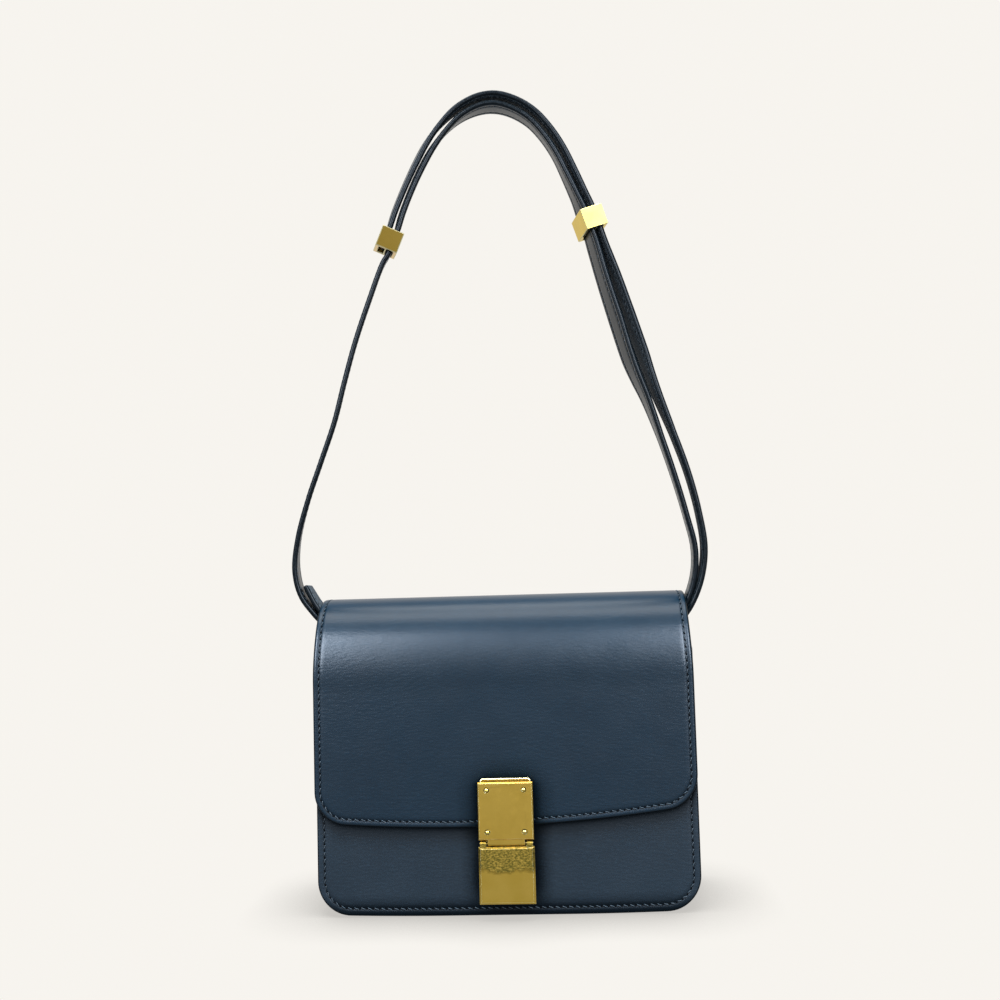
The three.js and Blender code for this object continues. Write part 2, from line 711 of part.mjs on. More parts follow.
function claspBackPlate() {
  const top = hingeHeight + claspPlateDrop + claspPlateHeight + backPlateShow;
  const half = backPlateWidth / 2;
  const low = top - backPlateOverlap;
  const shape = new THREE.Shape();
  shape.moveTo(-half, low);
  shape.lineTo(half, low);
  shape.lineTo(half, top - backPlateCorner);
  shape.lineTo(half - backPlateCorner, top);
  shape.lineTo(-half + backPlateCorner, top);
  shape.lineTo(-half, top - backPlateCorner);
  shape.closePath();
  const options = { depth: backPlateThickness, bevelEnabled: false };
  const geometry = new THREE.ExtrudeGeometry(shape, options);
  return geometry.translate(0, 0, claspDepths().backPlate).rotateX(Math.PI / 2);
}

function claspLever() {
  const { lever } = claspDepths();
  const middle = hingeHeight - leverDrop - leverHeight / 2;
  const body = facePlate(leverWidth, leverHeight, leverThickness, leverBevel, lever, middle);
  const lugMiddle = (tongueWidth + leverWidth) / 4;
  const webLength = leverDrop + 2 * leverBevel;
  const lugs = [-1, 1].map((side) => {
    const centre = side * lugMiddle;
    return hingeEye(-1, webLength, centre - lugWidth / 2, centre + lugWidth / 2);
  });
  return joined([body, ...lugs]);
}

function hingePin() {
  const length = leverWidth - 2 * leverBevel;
  const geometry = new THREE.CylinderGeometry(pinRadius, pinRadius, length, 16);
  return geometry.rotateZ(Math.PI / 2).translate(0, -claspDepths().pin, hingeHeight);
}

function claspCatch() {
  const depth = claspDepths().lever - 2 * metalGap;
  const middle = catchHeightAboveBase + catchHeight / 2;
  return facePlate(catchWidth, catchHeight, depth, claspBevel, metalGap, middle);
}

// The clasp's own group lies on the straight front face and leans with it.
function clasp() {
  const group = new THREE.Group();
  group.position.set(claspShift, -baseHalfDepth, 0);
  group.rotation.x = -faceLean;
  group.add(part("clasp_back_plate", claspBackPlate(), brass));
  group.add(part("clasp_plate", claspPlate(), brass));
  group.add(part("clasp_lever", claspLever(), brass));
  group.add(part("clasp_hinge_pin", hingePin(), brass));
  group.add(part("clasp_catch", claspCatch(), brass));
  rivetPlaces().forEach((place, k) => group.add(rivet(`clasp_rivet_${k + 1}`, place)));
  return group;
}

function boxBag() {
  const bag = new THREE.Group();
  bag.add(part("front_panel", panel(-1), sideCalf));
  bag.add(part("back_panel", panel(1), sideCalf));
  bag.add(part("gusset", gusset(), sideCalf));
  bag.add(part("flap", flap(), calf));
  bag.add(part("strap", strap(), strapCalf));
  const [leftKnot, rightKnot] = keeperKnots();
  bag.add(keeper("keeper_left", leftKnot));
  bag.add(keeper("keeper_right", rightKnot));
  bag.add(bracket("strap_bracket_left", -1));
  bag.add(bracket("strap_bracket_right", 1));
  bag.add(clasp());
  bag.position.copy(hangPoint()).negate();
  const whole = new THREE.Group();
  whole.add(bag);
  return whole;
}

export default boxBag();
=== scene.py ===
import math

import bpy
import numpy as np
from mathutils import Matrix, Vector
from mathutils.geometry import delaunay_2d_cdt

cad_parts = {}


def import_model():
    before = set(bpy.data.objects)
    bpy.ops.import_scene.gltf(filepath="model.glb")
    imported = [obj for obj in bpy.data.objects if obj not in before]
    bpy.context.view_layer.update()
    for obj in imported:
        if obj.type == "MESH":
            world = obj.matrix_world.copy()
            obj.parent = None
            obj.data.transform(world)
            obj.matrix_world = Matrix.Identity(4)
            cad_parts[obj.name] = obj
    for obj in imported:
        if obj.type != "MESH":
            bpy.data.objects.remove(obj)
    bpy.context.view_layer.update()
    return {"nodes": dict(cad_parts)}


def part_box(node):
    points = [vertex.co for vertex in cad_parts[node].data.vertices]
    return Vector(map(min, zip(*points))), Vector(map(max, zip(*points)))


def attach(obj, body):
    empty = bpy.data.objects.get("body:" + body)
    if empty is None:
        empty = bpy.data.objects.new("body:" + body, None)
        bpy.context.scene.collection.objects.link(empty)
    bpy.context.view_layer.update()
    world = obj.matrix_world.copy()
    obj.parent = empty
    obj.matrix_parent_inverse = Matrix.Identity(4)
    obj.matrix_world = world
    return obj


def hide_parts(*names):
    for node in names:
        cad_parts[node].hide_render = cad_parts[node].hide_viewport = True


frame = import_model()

# Sizes are in millimetres in the bag's own frame: x from its middle to the right, y from its middle
# to the back and z up from its base. world() brings them to the frame's metres.
MM = 0.001
GUSSET_LOW, GUSSET_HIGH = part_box("gusset")
BAG_ORIGIN = np.array([(GUSSET_LOW.x + GUSSET_HIGH.x) / 2, 0.0, GUSSET_LOW.z])

# Body
BAG_WIDTH = 191.6
HALF_WIDTH = BAG_WIDTH / 2
BAG_HEIGHT = 157.5
BASE_HALF_DEPTH = 34.0
SHOULDER_HALF_DEPTH = 28.7
CROWN_RISE = 40.0
CROWN_ROUNDNESS = 2.4
PANEL_BELOW_TOP = 20.5
PANEL_HEIGHT = BAG_HEIGHT - PANEL_BELOW_TOP
PANEL_THICKNESS = 2.2
LEFT_CORNER = 16.5
RIGHT_CORNER = 17.0
SHOULDER_CORNER = 8.0
BOTTOM_FLAT = 60.0
BOTTOM_BOW = 1.2
SEAM_GAP = 0.3

# Gusset
GUSSET_THICKNESS = 1.6
FLANGE_WIDTH = 8.0
PLEAT_DEPTH = 16.0
PLEAT_START = 26.0
PLEAT_FULL = 104.0
FLOOR_SHARE = 0.5
CORNER_DROP = 9.0
FLANGE_DROP = 6.0
FLOOR_BELOW_TOP = 10.0
CORNER_TOP = PANEL_HEIGHT - CORNER_DROP
FLANGE_TOP = PANEL_HEIGHT - FLANGE_DROP
FLOOR_TOP = BAG_HEIGHT - FLOOR_BELOW_TOP

# Flap
FLAP_INSET = 1.1
FLAP_HALF_WIDTH = HALF_WIDTH - FLAP_INSET
FLAP_FLARE = 1.3
FLAP_SHIFT = -0.3
FLAP_THICKNESS = 3.0
FLAP_CLEARANCE = 0.5
FLAP_SEAM_DROP = 10.0
FLAP_EDGE = 44.0
FLAP_EDGE_BOW = 6.0
FLAP_EDGE_SKEW = 2.8
FLAP_CORNER = 15.0
FLAP_BACK_CORNER = 8.0
CROWN_TOP = BAG_HEIGHT - FLAP_THICKNESS - FLAP_CLEARANCE
CROWN_START = CROWN_TOP - CROWN_RISE
FLAP_SEAM = CROWN_START - FLAP_SEAM_DROP

# Strap and what it runs through
STRAP_WIDTH = 18.0
STRAP_THICKNESS = 2.8
ARCH_BULGE = 13.6
ARCH_HALF_WIDTH = HALF_WIDTH + ARCH_BULGE
STRAP_RISE = 281.25
BAR_BELOW_TOP = 15.5
BAR_HEIGHT = BAG_HEIGHT - BAR_BELOW_TOP
BAR_OUT = 7.2
BAR_X = HALF_WIDTH - PLEAT_DEPTH + BAR_OUT
BAR_RADIUS = 1.4
STRAP_PLAY = 0.3
KEEPER_HEIGHT = 11.2
KEEPER_DIVIDER = 1.0
LAYER_SPACING = STRAP_THICKNESS + 2 * STRAP_PLAY + KEEPER_DIVIDER
STRAIGHT_IN_KEEPER = 0.6 * KEEPER_HEIGHT
END_IN_KEEPER = 3.5
TAB_BEYOND = 3.5
TAB_END_SPACING = 1.4
TAB_ROOT_SPACING = 1.12

# Stitching and edges
FLAP_STITCH_INSET = 3.1
PANEL_STITCH_INSET = 3.7
STRAP_STITCH_INSET = 3.4
STITCH_PITCH = 3.35
STITCH_LENGTH = 2.6
THREAD_RADIUS = 0.22
STITCH_SLANT = math.radians(-20)
HOLE_LENGTH = 1.15
HOLE_WIDTH = 0.62
HOLE_SLANT = math.radians(35)
HOLE_DEPTH = 0.25
HOLE_RIM = 0.07
GROOVE_DEPTH = 0.28
GROOVE_HALF_WIDTH = 0.75
STITCH_LIFT = 0.12
STITCH_CLEAR = 0.4
EDGE_ROLL = 0.1
EDGE_ROUNDNESS = 0.42
GUSSET_ROUNDNESS = 0.45
PAINT_SHARE = 0.8

# Meshes: distances from the edge at which they have points, and their spacing elsewhere. GRID_CLEAR
# is a share of GRID_SPACING, and STRAP_TURN the radians from one row of the strap to the next.
RING_DEPTHS = (0.0, 0.12, 0.35, 0.7, 1.15, 1.7, 2.3, 2.75, 3.1, 3.4, 3.7, 4.05, 4.7, 6.0)
STRAP_SECTION = (0.0, 0.12, 0.35, 0.7, 1.15, 1.8, 2.45, 2.85, 3.15, 3.4, 3.65, 3.95, 4.6, 6.2, 9.0)
STRAP_END_DEPTHS = (0.12, 0.35, 0.7, 1.15, 1.7)
GUSSET_END_DEPTHS = (0.0, 0.12, 0.35, 0.7, 1.2)
PAINTED_COLUMNS = 3
OUTLINE_SPACING = 1.8
GRID_SPACING = 3.2
GRID_CLEAR = 0.55
STRAP_TURN = 0.13
STRAP_SPACING = (0.6, 2.4)
STRAP_END_CLEAR = 0.3
OUTLINE_STEPS = 60
CORNER_STEPS = 24
TINY = 1e-9

# Contact shade: how near another surface darkens one, and the openness over which it does
CONTACT_REACH = 12
STRAP_REACH = 2.5
METAL_REACH = 1.8
CONTACT_RANGE = (0.68, 0.995)

# Clasp and the softened edges of the metal
HINGE_HEIGHT = 36.7
LEVER_DROP = 1.5
LEVER_WORN = 10.8
WORN_SHARES = (0.2, 0.25, 0.3)
METAL_EDGE = 0.45
SMALL_EDGE = 0.12
BEVEL_ANGLE = math.radians(35)
WELD_WITHIN = 0.005

# The strap's route: x is a share of ARCH_HALF_WIDTH, rise of STRAP_RISE above the bars, apart of
# LAYER_SPACING, and lean the degrees by which the strap's back edge leans out of the arch.
ROUTE_COLUMNS = ("x", "rise", "apart", "lean")
LEFT_RUN = [
    (-0.907, 0.029, 1, 0),
    (-0.978, 0.065, 1, 5),
    (-1.006, 0.112, 1, 6),
    (-0.994, 0.169, 1, 10),
    (-0.943, 0.242, 1, 12),
    (-0.872, 0.317, 1, 12),
    (-0.801, 0.392, 1, 12),
    (-0.747, 0.467, 1, 12),
    (-0.689, 0.542, 1, 12),
    (-0.619, 0.617, 1, 12),
    (-0.543, 0.691, 1, 12),
]
LEFT_KEEPER = (-0.492, 0.729, 1, 13)
CROWN = [
    (-0.441, 0.784, 0.93, 15),
    (-0.387, 0.834, 0.87, 16),
    (-0.334, 0.875, 0.87, 17),
    (-0.28, 0.91, 0.93, 17),
    (-0.215, 0.941, 1, 15),
    (-0.137, 0.966, 1.09, 10),
    (-0.045, 0.981, 1.14, 5),
    (0.03, 0.983, 1.17, 2.5),
    (0.107, 0.974, 1.18, 2.5),
    (0.192, 0.953, 1.16, 1.5),
    (0.263, 0.921, 1.13, 0.5),
    (0.318, 0.886, 1.1, -1),
    (0.363, 0.847, 1.07, -3.5),
    (0.412, 0.801, 1, -7),
]
RIGHT_KEEPER = (0.457, 0.751, 1, -12)
RIGHT_RUN = [
    (0.489, 0.71, 1, -14),
    (0.532, 0.644, 1.42, -14.5),
    (0.587, 0.568, 1.6, -16.5),
    (0.643, 0.491, 1.77, -14.5),
    (0.679, 0.453, 1.6, -10.5),
    (0.718, 0.416, 1.42, -6.5),
    (0.783, 0.341, 1.53, 0),
    (0.842, 0.266, 1.64, 1),
    (0.891, 0.194, 1.5, 1.5),
    (0.925, 0.13, 1.13, 1),
    (0.912, 0.073, 0.82, 1),
    (0.855, 0.024, 0.71, 0),
]

# Camera, as the photograph was taken: its place in the bag's frame, its angles and its lens
CAMERA_PLACE = (35.4, -656.1, 185.1)
CAMERA_YAW = math.radians(-3.1)
CAMERA_PITCH = math.radians(1.98)
CAMERA_ROLL = math.radians(-1.72)
SENSOR_WIDTH = 36.0
FOCAL_SHARE = 1.24
CLIP_START = 0.01

# Studio: the floor lies just under the bag, and lights are given in metres and watts
FLOOR_DROP = 0.2
AIM_HEIGHT = 120.0
PAPER = (0.93, 0.905, 0.86)
DAYLIGHT = (0.78, 0.87, 1.0)
SKY_STRENGTH = 0.5
SHELTER_REACH = 45.0
FRONT_TO_BACK = (200, 1500)

# Blender's Mix node gives its number and colour sockets the same names, so they go by index
MIX_NUMBERS = (2, 3)
MIX_COLOURS = (6, 7)
MIX_COLOUR_RESULT = 2


def world(points):
    """Points of the bag's frame, in millimetres, in the frame's metres."""
    return np.asarray(points, float) * MM + BAG_ORIGIN


def unit(vectors):
    return vectors / np.linalg.norm(vectors, axis=-1, keepdims=True)


def running_length(points):
    """Length along a line of points, or along each column of a grid, from its start."""
    steps = np.linalg.norm(np.diff(points, axis=0), axis=-1)
    return np.concatenate([np.zeros_like(steps[:1]), np.cumsum(steps, axis=0)])


def at_lengths(at, length, rows):
    """Rows that are known at running lengths, read at other lengths."""
    return np.stack([np.interp(at, length, column) for column in rows.T], 1)


def eased(share):
    """A share from 0 to 1 that starts and ends softly."""
    return share ** 2 * (3 - 2 * share)


# Body surfaces

def half_depth(z):
    """Half the body's depth to the panels' outer faces."""
    z = np.asarray(z, float)
    straight = BASE_HALF_DEPTH + (SHOULDER_HALF_DEPTH - BASE_HALF_DEPTH) * z / CROWN_START
    up = np.clip((z - CROWN_START) / CROWN_RISE, 0, 1)
    crown = SHOULDER_HALF_DEPTH * (1 - up ** CROWN_ROUNDNESS) ** (1 / CROWN_ROUNDNESS)
    return np.where(z <= CROWN_START, straight, crown)


def body_profile():
    """The body's side profile from the back's foot over the top to the front's foot."""
    below_base, side_steps, crown_steps = 10, 60, 120
    side = np.linspace(-below_base, CROWN_START, side_steps)[:-1]
    turns = np.sin(np.linspace(0, math.pi / 2, crown_steps))
    heights = np.concatenate([side, CROWN_START + CROWN_RISE * turns])
    depths = half_depth(heights)
    back = np.stack([depths, heights], 1)
    front = np.stack([-depths, heights], 1)[::-1][1:]
    profile = np.concatenate([back, front])
    along = unit(np.gradient(profile, axis=0))
    normals = np.stack([along[:, 1], -along[:, 0]], 1)
    return profile, normals


def depth_slope(z):
    step = 0.5
    return (half_depth(z + step) - half_depth(z - step)) / (2 * step)


def offset_profile(offset):
    """A profile at a distance from the body, with its normals and its running length."""
    profile, normals = body_profile()
    moved = profile + normals * offset
    return moved, normals, running_length(moved)


class FlapSheet:
    """The flap's sheet follows the body's profile at an offset. Its flat pattern has x across and s
    along the profile from the back over the top to the front, where it flares a little."""

    def __init__(self, offset):
        self.points, self.normals, self.length = offset_profile(offset)
        depths, heights = body_profile()[0].T
        rise = np.clip((heights - CROWN_START) / CROWN_RISE, 0, 1)
        flare = np.where(depths < 0, 1 - eased(rise), 0)
        self.wider = 1 + FLAP_FLARE * flare / FLAP_HALF_WIDTH

    def place(self, flat, height):
        """Places flat points at a height above the middle of the sheet."""
        s = flat[:, 1]
        y, z = at_lengths(s, self.length, self.points).T
        ny, nz = at_lengths(s, self.length, self.normals).T
        x = flat[:, 0] * np.interp(s, self.length, self.wider) + FLAP_SHIFT
        return np.stack([x, y + ny * height, z + nz * height], 1)

    def along_at(self, z, front):
        """Running length at a height, on the front or the back."""
        middle = len(self.length) // 2
        if front:
            return np.interp(-np.asarray(z, float), -self.points[middle:, 1], self.length[middle:])
        return np.interp(z, self.points[:middle, 1], self.length[:middle])


# Flat outlines

def corner_arc(centre, radius, quarter):
    """A quarter of a circle. Quarter 0 runs from its right to its top."""
    turns = np.linspace(quarter * math.pi / 2, (quarter + 1) * math.pi / 2, CORNER_STEPS)
    return np.array(centre) + radius * np.stack([np.cos(turns), np.sin(turns)], 1)


def evenly(points, spacing):
    """A closed line as points at an even spacing."""
    closed = np.concatenate([points, points[:1]])
    length = running_length(closed)
    at = np.linspace(0, length[-1], round(length[-1] / spacing), endpoint=False)
    return at_lengths(at, length, closed)


def inward(line):
    """Inward unit normals of a closed line that runs counter-clockwise."""
    along = unit(np.roll(line, -1, axis=0) - np.roll(line, 1, axis=0))
    return np.stack([-along[:, 1], along[:, 0]], 1)


def inset_line(line, distance):
    return line + inward(line) * distance


def bottom_edge(x):
    """Height of the body's lower edge, which rises a little towards the sides."""
    past = np.maximum(0, np.abs(x) - BOTTOM_FLAT / 2) / (HALF_WIDTH - BOTTOM_FLAT / 2)
    return BOTTOM_BOW * past ** 2


def panel_outline():
    """Front panel's outline, counter-clockwise, x across and z up."""
    xs = np.linspace(LEFT_CORNER - HALF_WIDTH, HALF_WIDTH - RIGHT_CORNER, OUTLINE_STEPS)
    bottom = np.stack([xs, bottom_edge(xs)], 1)
    left_bottom = corner_arc((LEFT_CORNER - HALF_WIDTH, LEFT_CORNER), LEFT_CORNER, 2)
    right_bottom = corner_arc((HALF_WIDTH - RIGHT_CORNER, RIGHT_CORNER), RIGHT_CORNER, 3)
    for arc in (left_bottom, right_bottom):
        arc[:, 1] += bottom_edge(arc[:, 0])
    high = PANEL_HEIGHT - SHOULDER_CORNER
    right_top = corner_arc((HALF_WIDTH - SHOULDER_CORNER, high), SHOULDER_CORNER, 0)
    left_top = corner_arc((SHOULDER_CORNER - HALF_WIDTH, high), SHOULDER_CORNER, 1)
    return np.concatenate([left_bottom[:-1], bottom, right_bottom[1:], right_top, left_top])


def flap_edge(x):
    """Height of the flap's bowed and slightly skewed lower edge."""
    share = x / FLAP_HALF_WIDTH
    return FLAP_EDGE + FLAP_EDGE_BOW * share ** 2 + FLAP_EDGE_SKEW * share


def flap_outline(sheet):
    """Flap's outline in its flat pattern, counter-clockwise seen from outside."""
    half = FLAP_HALF_WIDTH
    xs = np.linspace(half - FLAP_CORNER, FLAP_CORNER - half, OUTLINE_STEPS)
    edge = np.stack([xs, sheet.along_at(flap_edge(xs), True)], 1)
    right = corner_arc((half - FLAP_CORNER, 0), FLAP_CORNER, 0)
    left = corner_arc((FLAP_CORNER - half, 0), FLAP_CORNER, 1)
    for arc in (right, left):
        arc[:, 1] += sheet.along_at(flap_edge(arc[:, 0]), True) - FLAP_CORNER
    seam = float(sheet.along_at(FLAP_SEAM, False)) + FLAP_BACK_CORNER
    back_left = corner_arc((FLAP_BACK_CORNER - half, seam), FLAP_BACK_CORNER, 2)
    back_right = corner_arc((half - FLAP_BACK_CORNER, seam), FLAP_BACK_CORNER, 3)
    return np.concatenate([back_left, back_right, right[:-1], edge, left[1:]])


# Meshes

def new_object(name, points, faces, materials, indices):
    """A smooth mesh from points in millimetres, with the index of a material for each face."""
    mesh = bpy.data.meshes.new(name)
    mesh.from_pydata([tuple(p) for p in world(points)], [], faces)
    for material in materials:
        mesh.materials.append(material)
    mesh.polygons.foreach_set("material_index", indices)
    mesh.polygons.foreach_set("use_smooth", [True] * len(faces))
    mesh.update()
    made = bpy.data.objects.new(name, mesh)
    bpy.context.scene.collection.objects.link(made)
    return made


def tube_faces(rings, sides):
    """Faces of a tube from its rings of points."""
    faces = []
    for i in range(rings - 1):
        for k in range(sides):
            a, b = i * sides + k, i * sides + (k + 1) % sides
            faces.append((a, b, b + sides, a + sides))
    return faces


def distance_to_line(points, line):
    """Distance from each point to a closed line."""
    start, end = line, np.roll(line, -1, axis=0)
    along = end - start
    squared = (along ** 2).sum(1)
    offset = points[:, None, :] - start[None, :, :]
    share = np.clip((offset * along[None]).sum(2) / squared[None], 0, 1)
    nearest = offset - share[..., None] * along[None]
    return np.sqrt((nearest ** 2).sum(2)).min(1)


def inside_line(points, line):
    x, y = points.T[..., None]
    x1, y1 = line.T[:, None]
    x2, y2 = np.roll(line, -1, axis=0).T[:, None]
    spans = (y1 > y) != (y2 > y)
    with np.errstate(divide="ignore", invalid="ignore"):
        crosses = spans & (x < (x2 - x1) * (y - y1) / (y2 - y1) + x1)
    return crosses.sum(1) % 2 == 1


def filled_pattern(outline):
    """Flat points with their distance from the outline, and triangles that fill it."""
    rings = [inset_line(outline, depth) for depth in RING_DEPTHS]
    low, high = outline.min(0), outline.max(0)
    xs = np.arange(low[0] + GRID_SPACING / 2, high[0], GRID_SPACING)
    ys = np.arange(low[1] + GRID_SPACING / 2, high[1], GRID_SPACING)
    grid = np.stack(np.meshgrid(xs, ys), -1).reshape(-1, 2)
    grid = grid[inside_line(grid, rings[-1])]
    depth = distance_to_line(grid, outline)
    keep = depth > RING_DEPTHS[-1] + GRID_CLEAR * GRID_SPACING
    grid, depth = grid[keep], depth[keep]
    count = len(outline)
    depths = np.concatenate([np.repeat(RING_DEPTHS, count), depth])
    points = np.concatenate([*rings, grid])
    edges = []
    for ring in range(len(RING_DEPTHS)):
        base = ring * count
        edges += [(base + k, base + (k + 1) % count) for k in range(count)]
    fill_inside, merge_within = 1, 1e-5
    placed, _, triangles, origins, _, _ = delaunay_2d_cdt(
        [Vector(p) for p in points], edges, [], fill_inside, merge_within
    )
    kept = [sources[0] for sources in origins]
    flat = np.array([tuple(p) for p in placed])
    rank = {old: new for new, old in enumerate(kept)}
    rim = [rank[k] for k in range(count)]
    return flat, depths[kept], triangles, rim


def edge_roll(depth):
    """How far the padded face sinks towards its edge."""
    return EDGE_ROLL * np.clip(1 - depth / RING_DEPTHS[-1], 0, 1) ** 2


def edge_drop(depth, radius):
    """How far a rounded edge falls away at a distance from it."""
    past = np.clip(radius - depth, 0, radius)
    return radius - np.sqrt(radius ** 2 - past ** 2)


def groove(depth, inset):
    """Depth of the stitch groove at a distance from the edge."""
    return GROOVE_DEPTH * np.exp(-((depth - inset) / GROOVE_HALF_WIDTH) ** 2)


def rim_faces(rim, count):
    """Faces between the rim of a sheet's front and that of its back, whose points are count on."""
    return [(q, p, count + p, count + q) for p, q in zip(rim, rim[1:] + rim[:1])]


def leather_piece(name, outline, place, thickness, inset, materials, flip):
    """A closed leather sheet over a flat outline: creased face with its stitch groove, rounded
    painted edge and back. Flip turns the faces where the sheet's place mirrors the outline."""
    flat, depth, triangles, rim = filled_pattern(outline)
    radius = EDGE_ROUNDNESS * thickness
    drop = edge_drop(depth, radius)
    top = place(flat, thickness / 2 - drop - edge_roll(depth) - groove(depth, inset))
    bottom = place(flat, -thickness / 2 + drop)
    count = len(flat)
    paint = depth < PAINT_SHARE * radius
    faces, indices = [], []
    for a, b, c in triangles:
        edge = int(paint[a] and paint[b] and paint[c])
        faces += [(a, b, c), (count + a, count + c, count + b)]
        indices += [edge, edge or 2]
    faces += rim_faces(rim, count)
    indices += [1] * len(rim)
    if flip:
        faces = [face[::-1] for face in faces]
    return new_object(name, np.concatenate([top, bottom]), faces, materials, indices)


# Stitches

def stitch_template():
    """One saddle stitch along x that rises out of its two holes."""
    rings, sides = 7, 6
    thin_end, arch, sink = 0.55, 1.1, 0.9
    points = []
    for i in range(rings):
        share = i / (rings - 1) * 2 - 1
        bend = 1 - share ** 4
        radius = THREAD_RADIUS * (thin_end + (1 - thin_end) * bend)
        for k in range(sides):
            turn = 2 * math.pi * k / sides
            height = radius * math.sin(turn) + THREAD_RADIUS * (arch * bend - sink)
            points.append((share * STITCH_LENGTH / 2, radius * math.cos(turn), height))
    faces = tube_faces(rings, sides)
    faces.append(tuple(range(sides))[::-1])
    faces.append(tuple((rings - 1) * sides + k for k in range(sides)))
    return np.array(points), [f[::-1] for f in faces]


def hole_template():
    """A shallow lens that stands for the slanted awl hole between two stitches, dark with painted
    shade where the hole's depth would lie in shadow.
    """
    sides, bulge = 8, 1.2
    points = [(0, 0, -HOLE_DEPTH)]
    for k in range(sides):
        turn = 2 * math.pi * k / sides
        x, y = HOLE_LENGTH / 2 * math.cos(turn), HOLE_WIDTH / 2 * math.sin(turn)
        turned_x = x * math.cos(HOLE_SLANT) - y * math.sin(HOLE_SLANT)
        turned_y = x * math.sin(HOLE_SLANT) + y * math.cos(HOLE_SLANT)
        points.append((turned_x, turned_y, HOLE_RIM))
    points.append((0, 0, bulge * HOLE_RIM))
    faces = []
    for k in range(sides):
        a, b = 1 + k, 1 + (k + 1) % sides
        faces += [(0, b, a), (sides + 1, a, b)]
    return np.array(points), faces


def stitch_object(name, seams, materials):
    """One mesh of the stitches of several seams, each with a hole after it. A seam is its places, its
    directions and its normals."""
    thread, thread_faces = stitch_template()
    hole, hole_faces = hole_template()
    points, faces, indices, base = [], [], [], 0
    for place, along, normal in (stitch for seam in seams for stitch in zip(*seam)):
        side = np.cross(normal, along)
        turned = along * math.cos(STITCH_SLANT) + side * math.sin(STITCH_SLANT)
        slanted = np.stack([turned, np.cross(normal, turned), normal])
        straight = np.stack([along, side, normal])
        shapes = (
            (place + thread @ slanted, thread_faces, 0),
            (place + along * STITCH_PITCH / 2 + hole @ straight, hole_faces, 1),
        )
        for shape, shape_faces, index in shapes:
            points.append(shape)
            faces += [tuple(base + v for v in face) for face in shape_faces]
            indices += [index] * len(shape_faces)
            base += len(shape)
    return new_object(name, np.concatenate(points), faces, materials, indices)


def sheet_seam(outline, place, height, inset):
    """Places, directions and normals of the stitches along a flat outline, on a placed sheet."""
    line = evenly(inset_line(outline, inset), STITCH_PITCH)
    step = 0.2
    ahead = unit(np.roll(line, -1, axis=0) - np.roll(line, 1, axis=0))
    level = np.full(len(line), height)
    places = place(line, level)
    alongs = unit(place(line + ahead * step, level) - places)
    normals = unit(place(line, level + step) - places)
    return places, alongs, normals


def panel_place(side):
    """Places a flat panel on the front (side -1) or the back (side 1)."""
    def place(flat, height):
        z = flat[:, 1]
        slope = depth_slope(z)
        length = np.hypot(1, slope)
        out = height - PANEL_THICKNESS / 2
        y = side * (half_depth(z) + out / length)
        return np.stack([flat[:, 0], y, z - slope * out / length], 1)
    return place


# Strap

def strap_frame(tangent, lean):
    """The strap's own directions: along it, across it and out of its upper face."""
    along = unit(tangent)
    normal = np.stack([-along[..., 2], np.zeros_like(along[..., 0]), along[..., 0]], -1)
    angle = np.radians(lean)[..., None]
    across = np.array([0.0, 1.0, 0.0]) * np.cos(angle) + normal * np.sin(angle)
    return along, across, np.cross(along, across)


def inner_knots():
    """The inner layer's knots, three in line in each keeper."""
    route = [*LEFT_RUN, LEFT_KEEPER, *CROWN, RIGHT_KEEPER, *RIGHT_RUN]
    rows = [dict(zip(ROUTE_COLUMNS, row)) for row in route]
    places = np.array([
        (row["x"] * ARCH_HALF_WIDTH, 0, BAR_HEIGHT + row["rise"] * STRAP_RISE) for row in rows
    ])
    knots = []
    for k, row in enumerate(rows):
        tangent = places[min(k + 1, len(rows) - 1)] - places[max(k - 1, 0)]
        along, across, normal = strap_frame(tangent, np.array(float(row["lean"])))
        keeper = route[k] in (LEFT_KEEPER, RIGHT_KEEPER)
        for end in (-1, 0, 1) if keeper else (0,):
            place = places[k] + along * end * STRAIGHT_IN_KEEPER
            knots.append({
                "place": place, "along": along, "across": across, "normal": normal,
                "lean": row["lean"], "apart": row["apart"], "middle": keeper and end == 0,
            })
    return knots


def bar_turn(x, legs):
    """Half a turn of the strap round a bar, from above it to below it."""
    radius = BAR_RADIUS + STRAP_PLAY + STRAP_THICKNESS / 2
    bar = np.array([x, 0, BAR_HEIGHT])
    out = unit(legs - bar)
    above = np.array([-out[2], 0, out[0]]) * np.sign(x)
    steps = 7
    turns = np.linspace(0, math.pi, steps)
    return [(bar + above * radius * math.cos(t) - out * radius * math.sin(t), 0) for t in turns]


def strap_knots():
    """Places and leans of every knot of the one long strap."""
    inner = inner_knots()
    spacing = STRAP_THICKNESS + SEAM_GAP
    tab_knots = ((inner[1], TAB_END_SPACING, TAB_BEYOND), (inner[0], TAB_ROOT_SPACING, 0))
    tab = [
        (knot["place"] + knot["along"] * beyond - knot["normal"] * share * spacing, -knot["lean"])
        for knot, share, beyond in tab_knots
    ]
    first = next(k for k, knot in enumerate(inner) if knot["middle"])
    outer = [
        (knot["place"] + knot["normal"] * knot["apart"] * LAYER_SPACING, -knot["lean"])
        for knot in inner[first:]
    ]
    end = (outer[0][0] - inner[first]["along"] * END_IN_KEEPER, outer[0][1])
    legs = (inner[-1]["place"] + outer[-1][0]) / 2
    return [
        *tab,
        *bar_turn(-BAR_X, inner[0]["place"]),
        *[(knot["place"], knot["lean"]) for knot in inner],
        *bar_turn(BAR_X, legs),
        *outer[::-1],
        end,
    ]


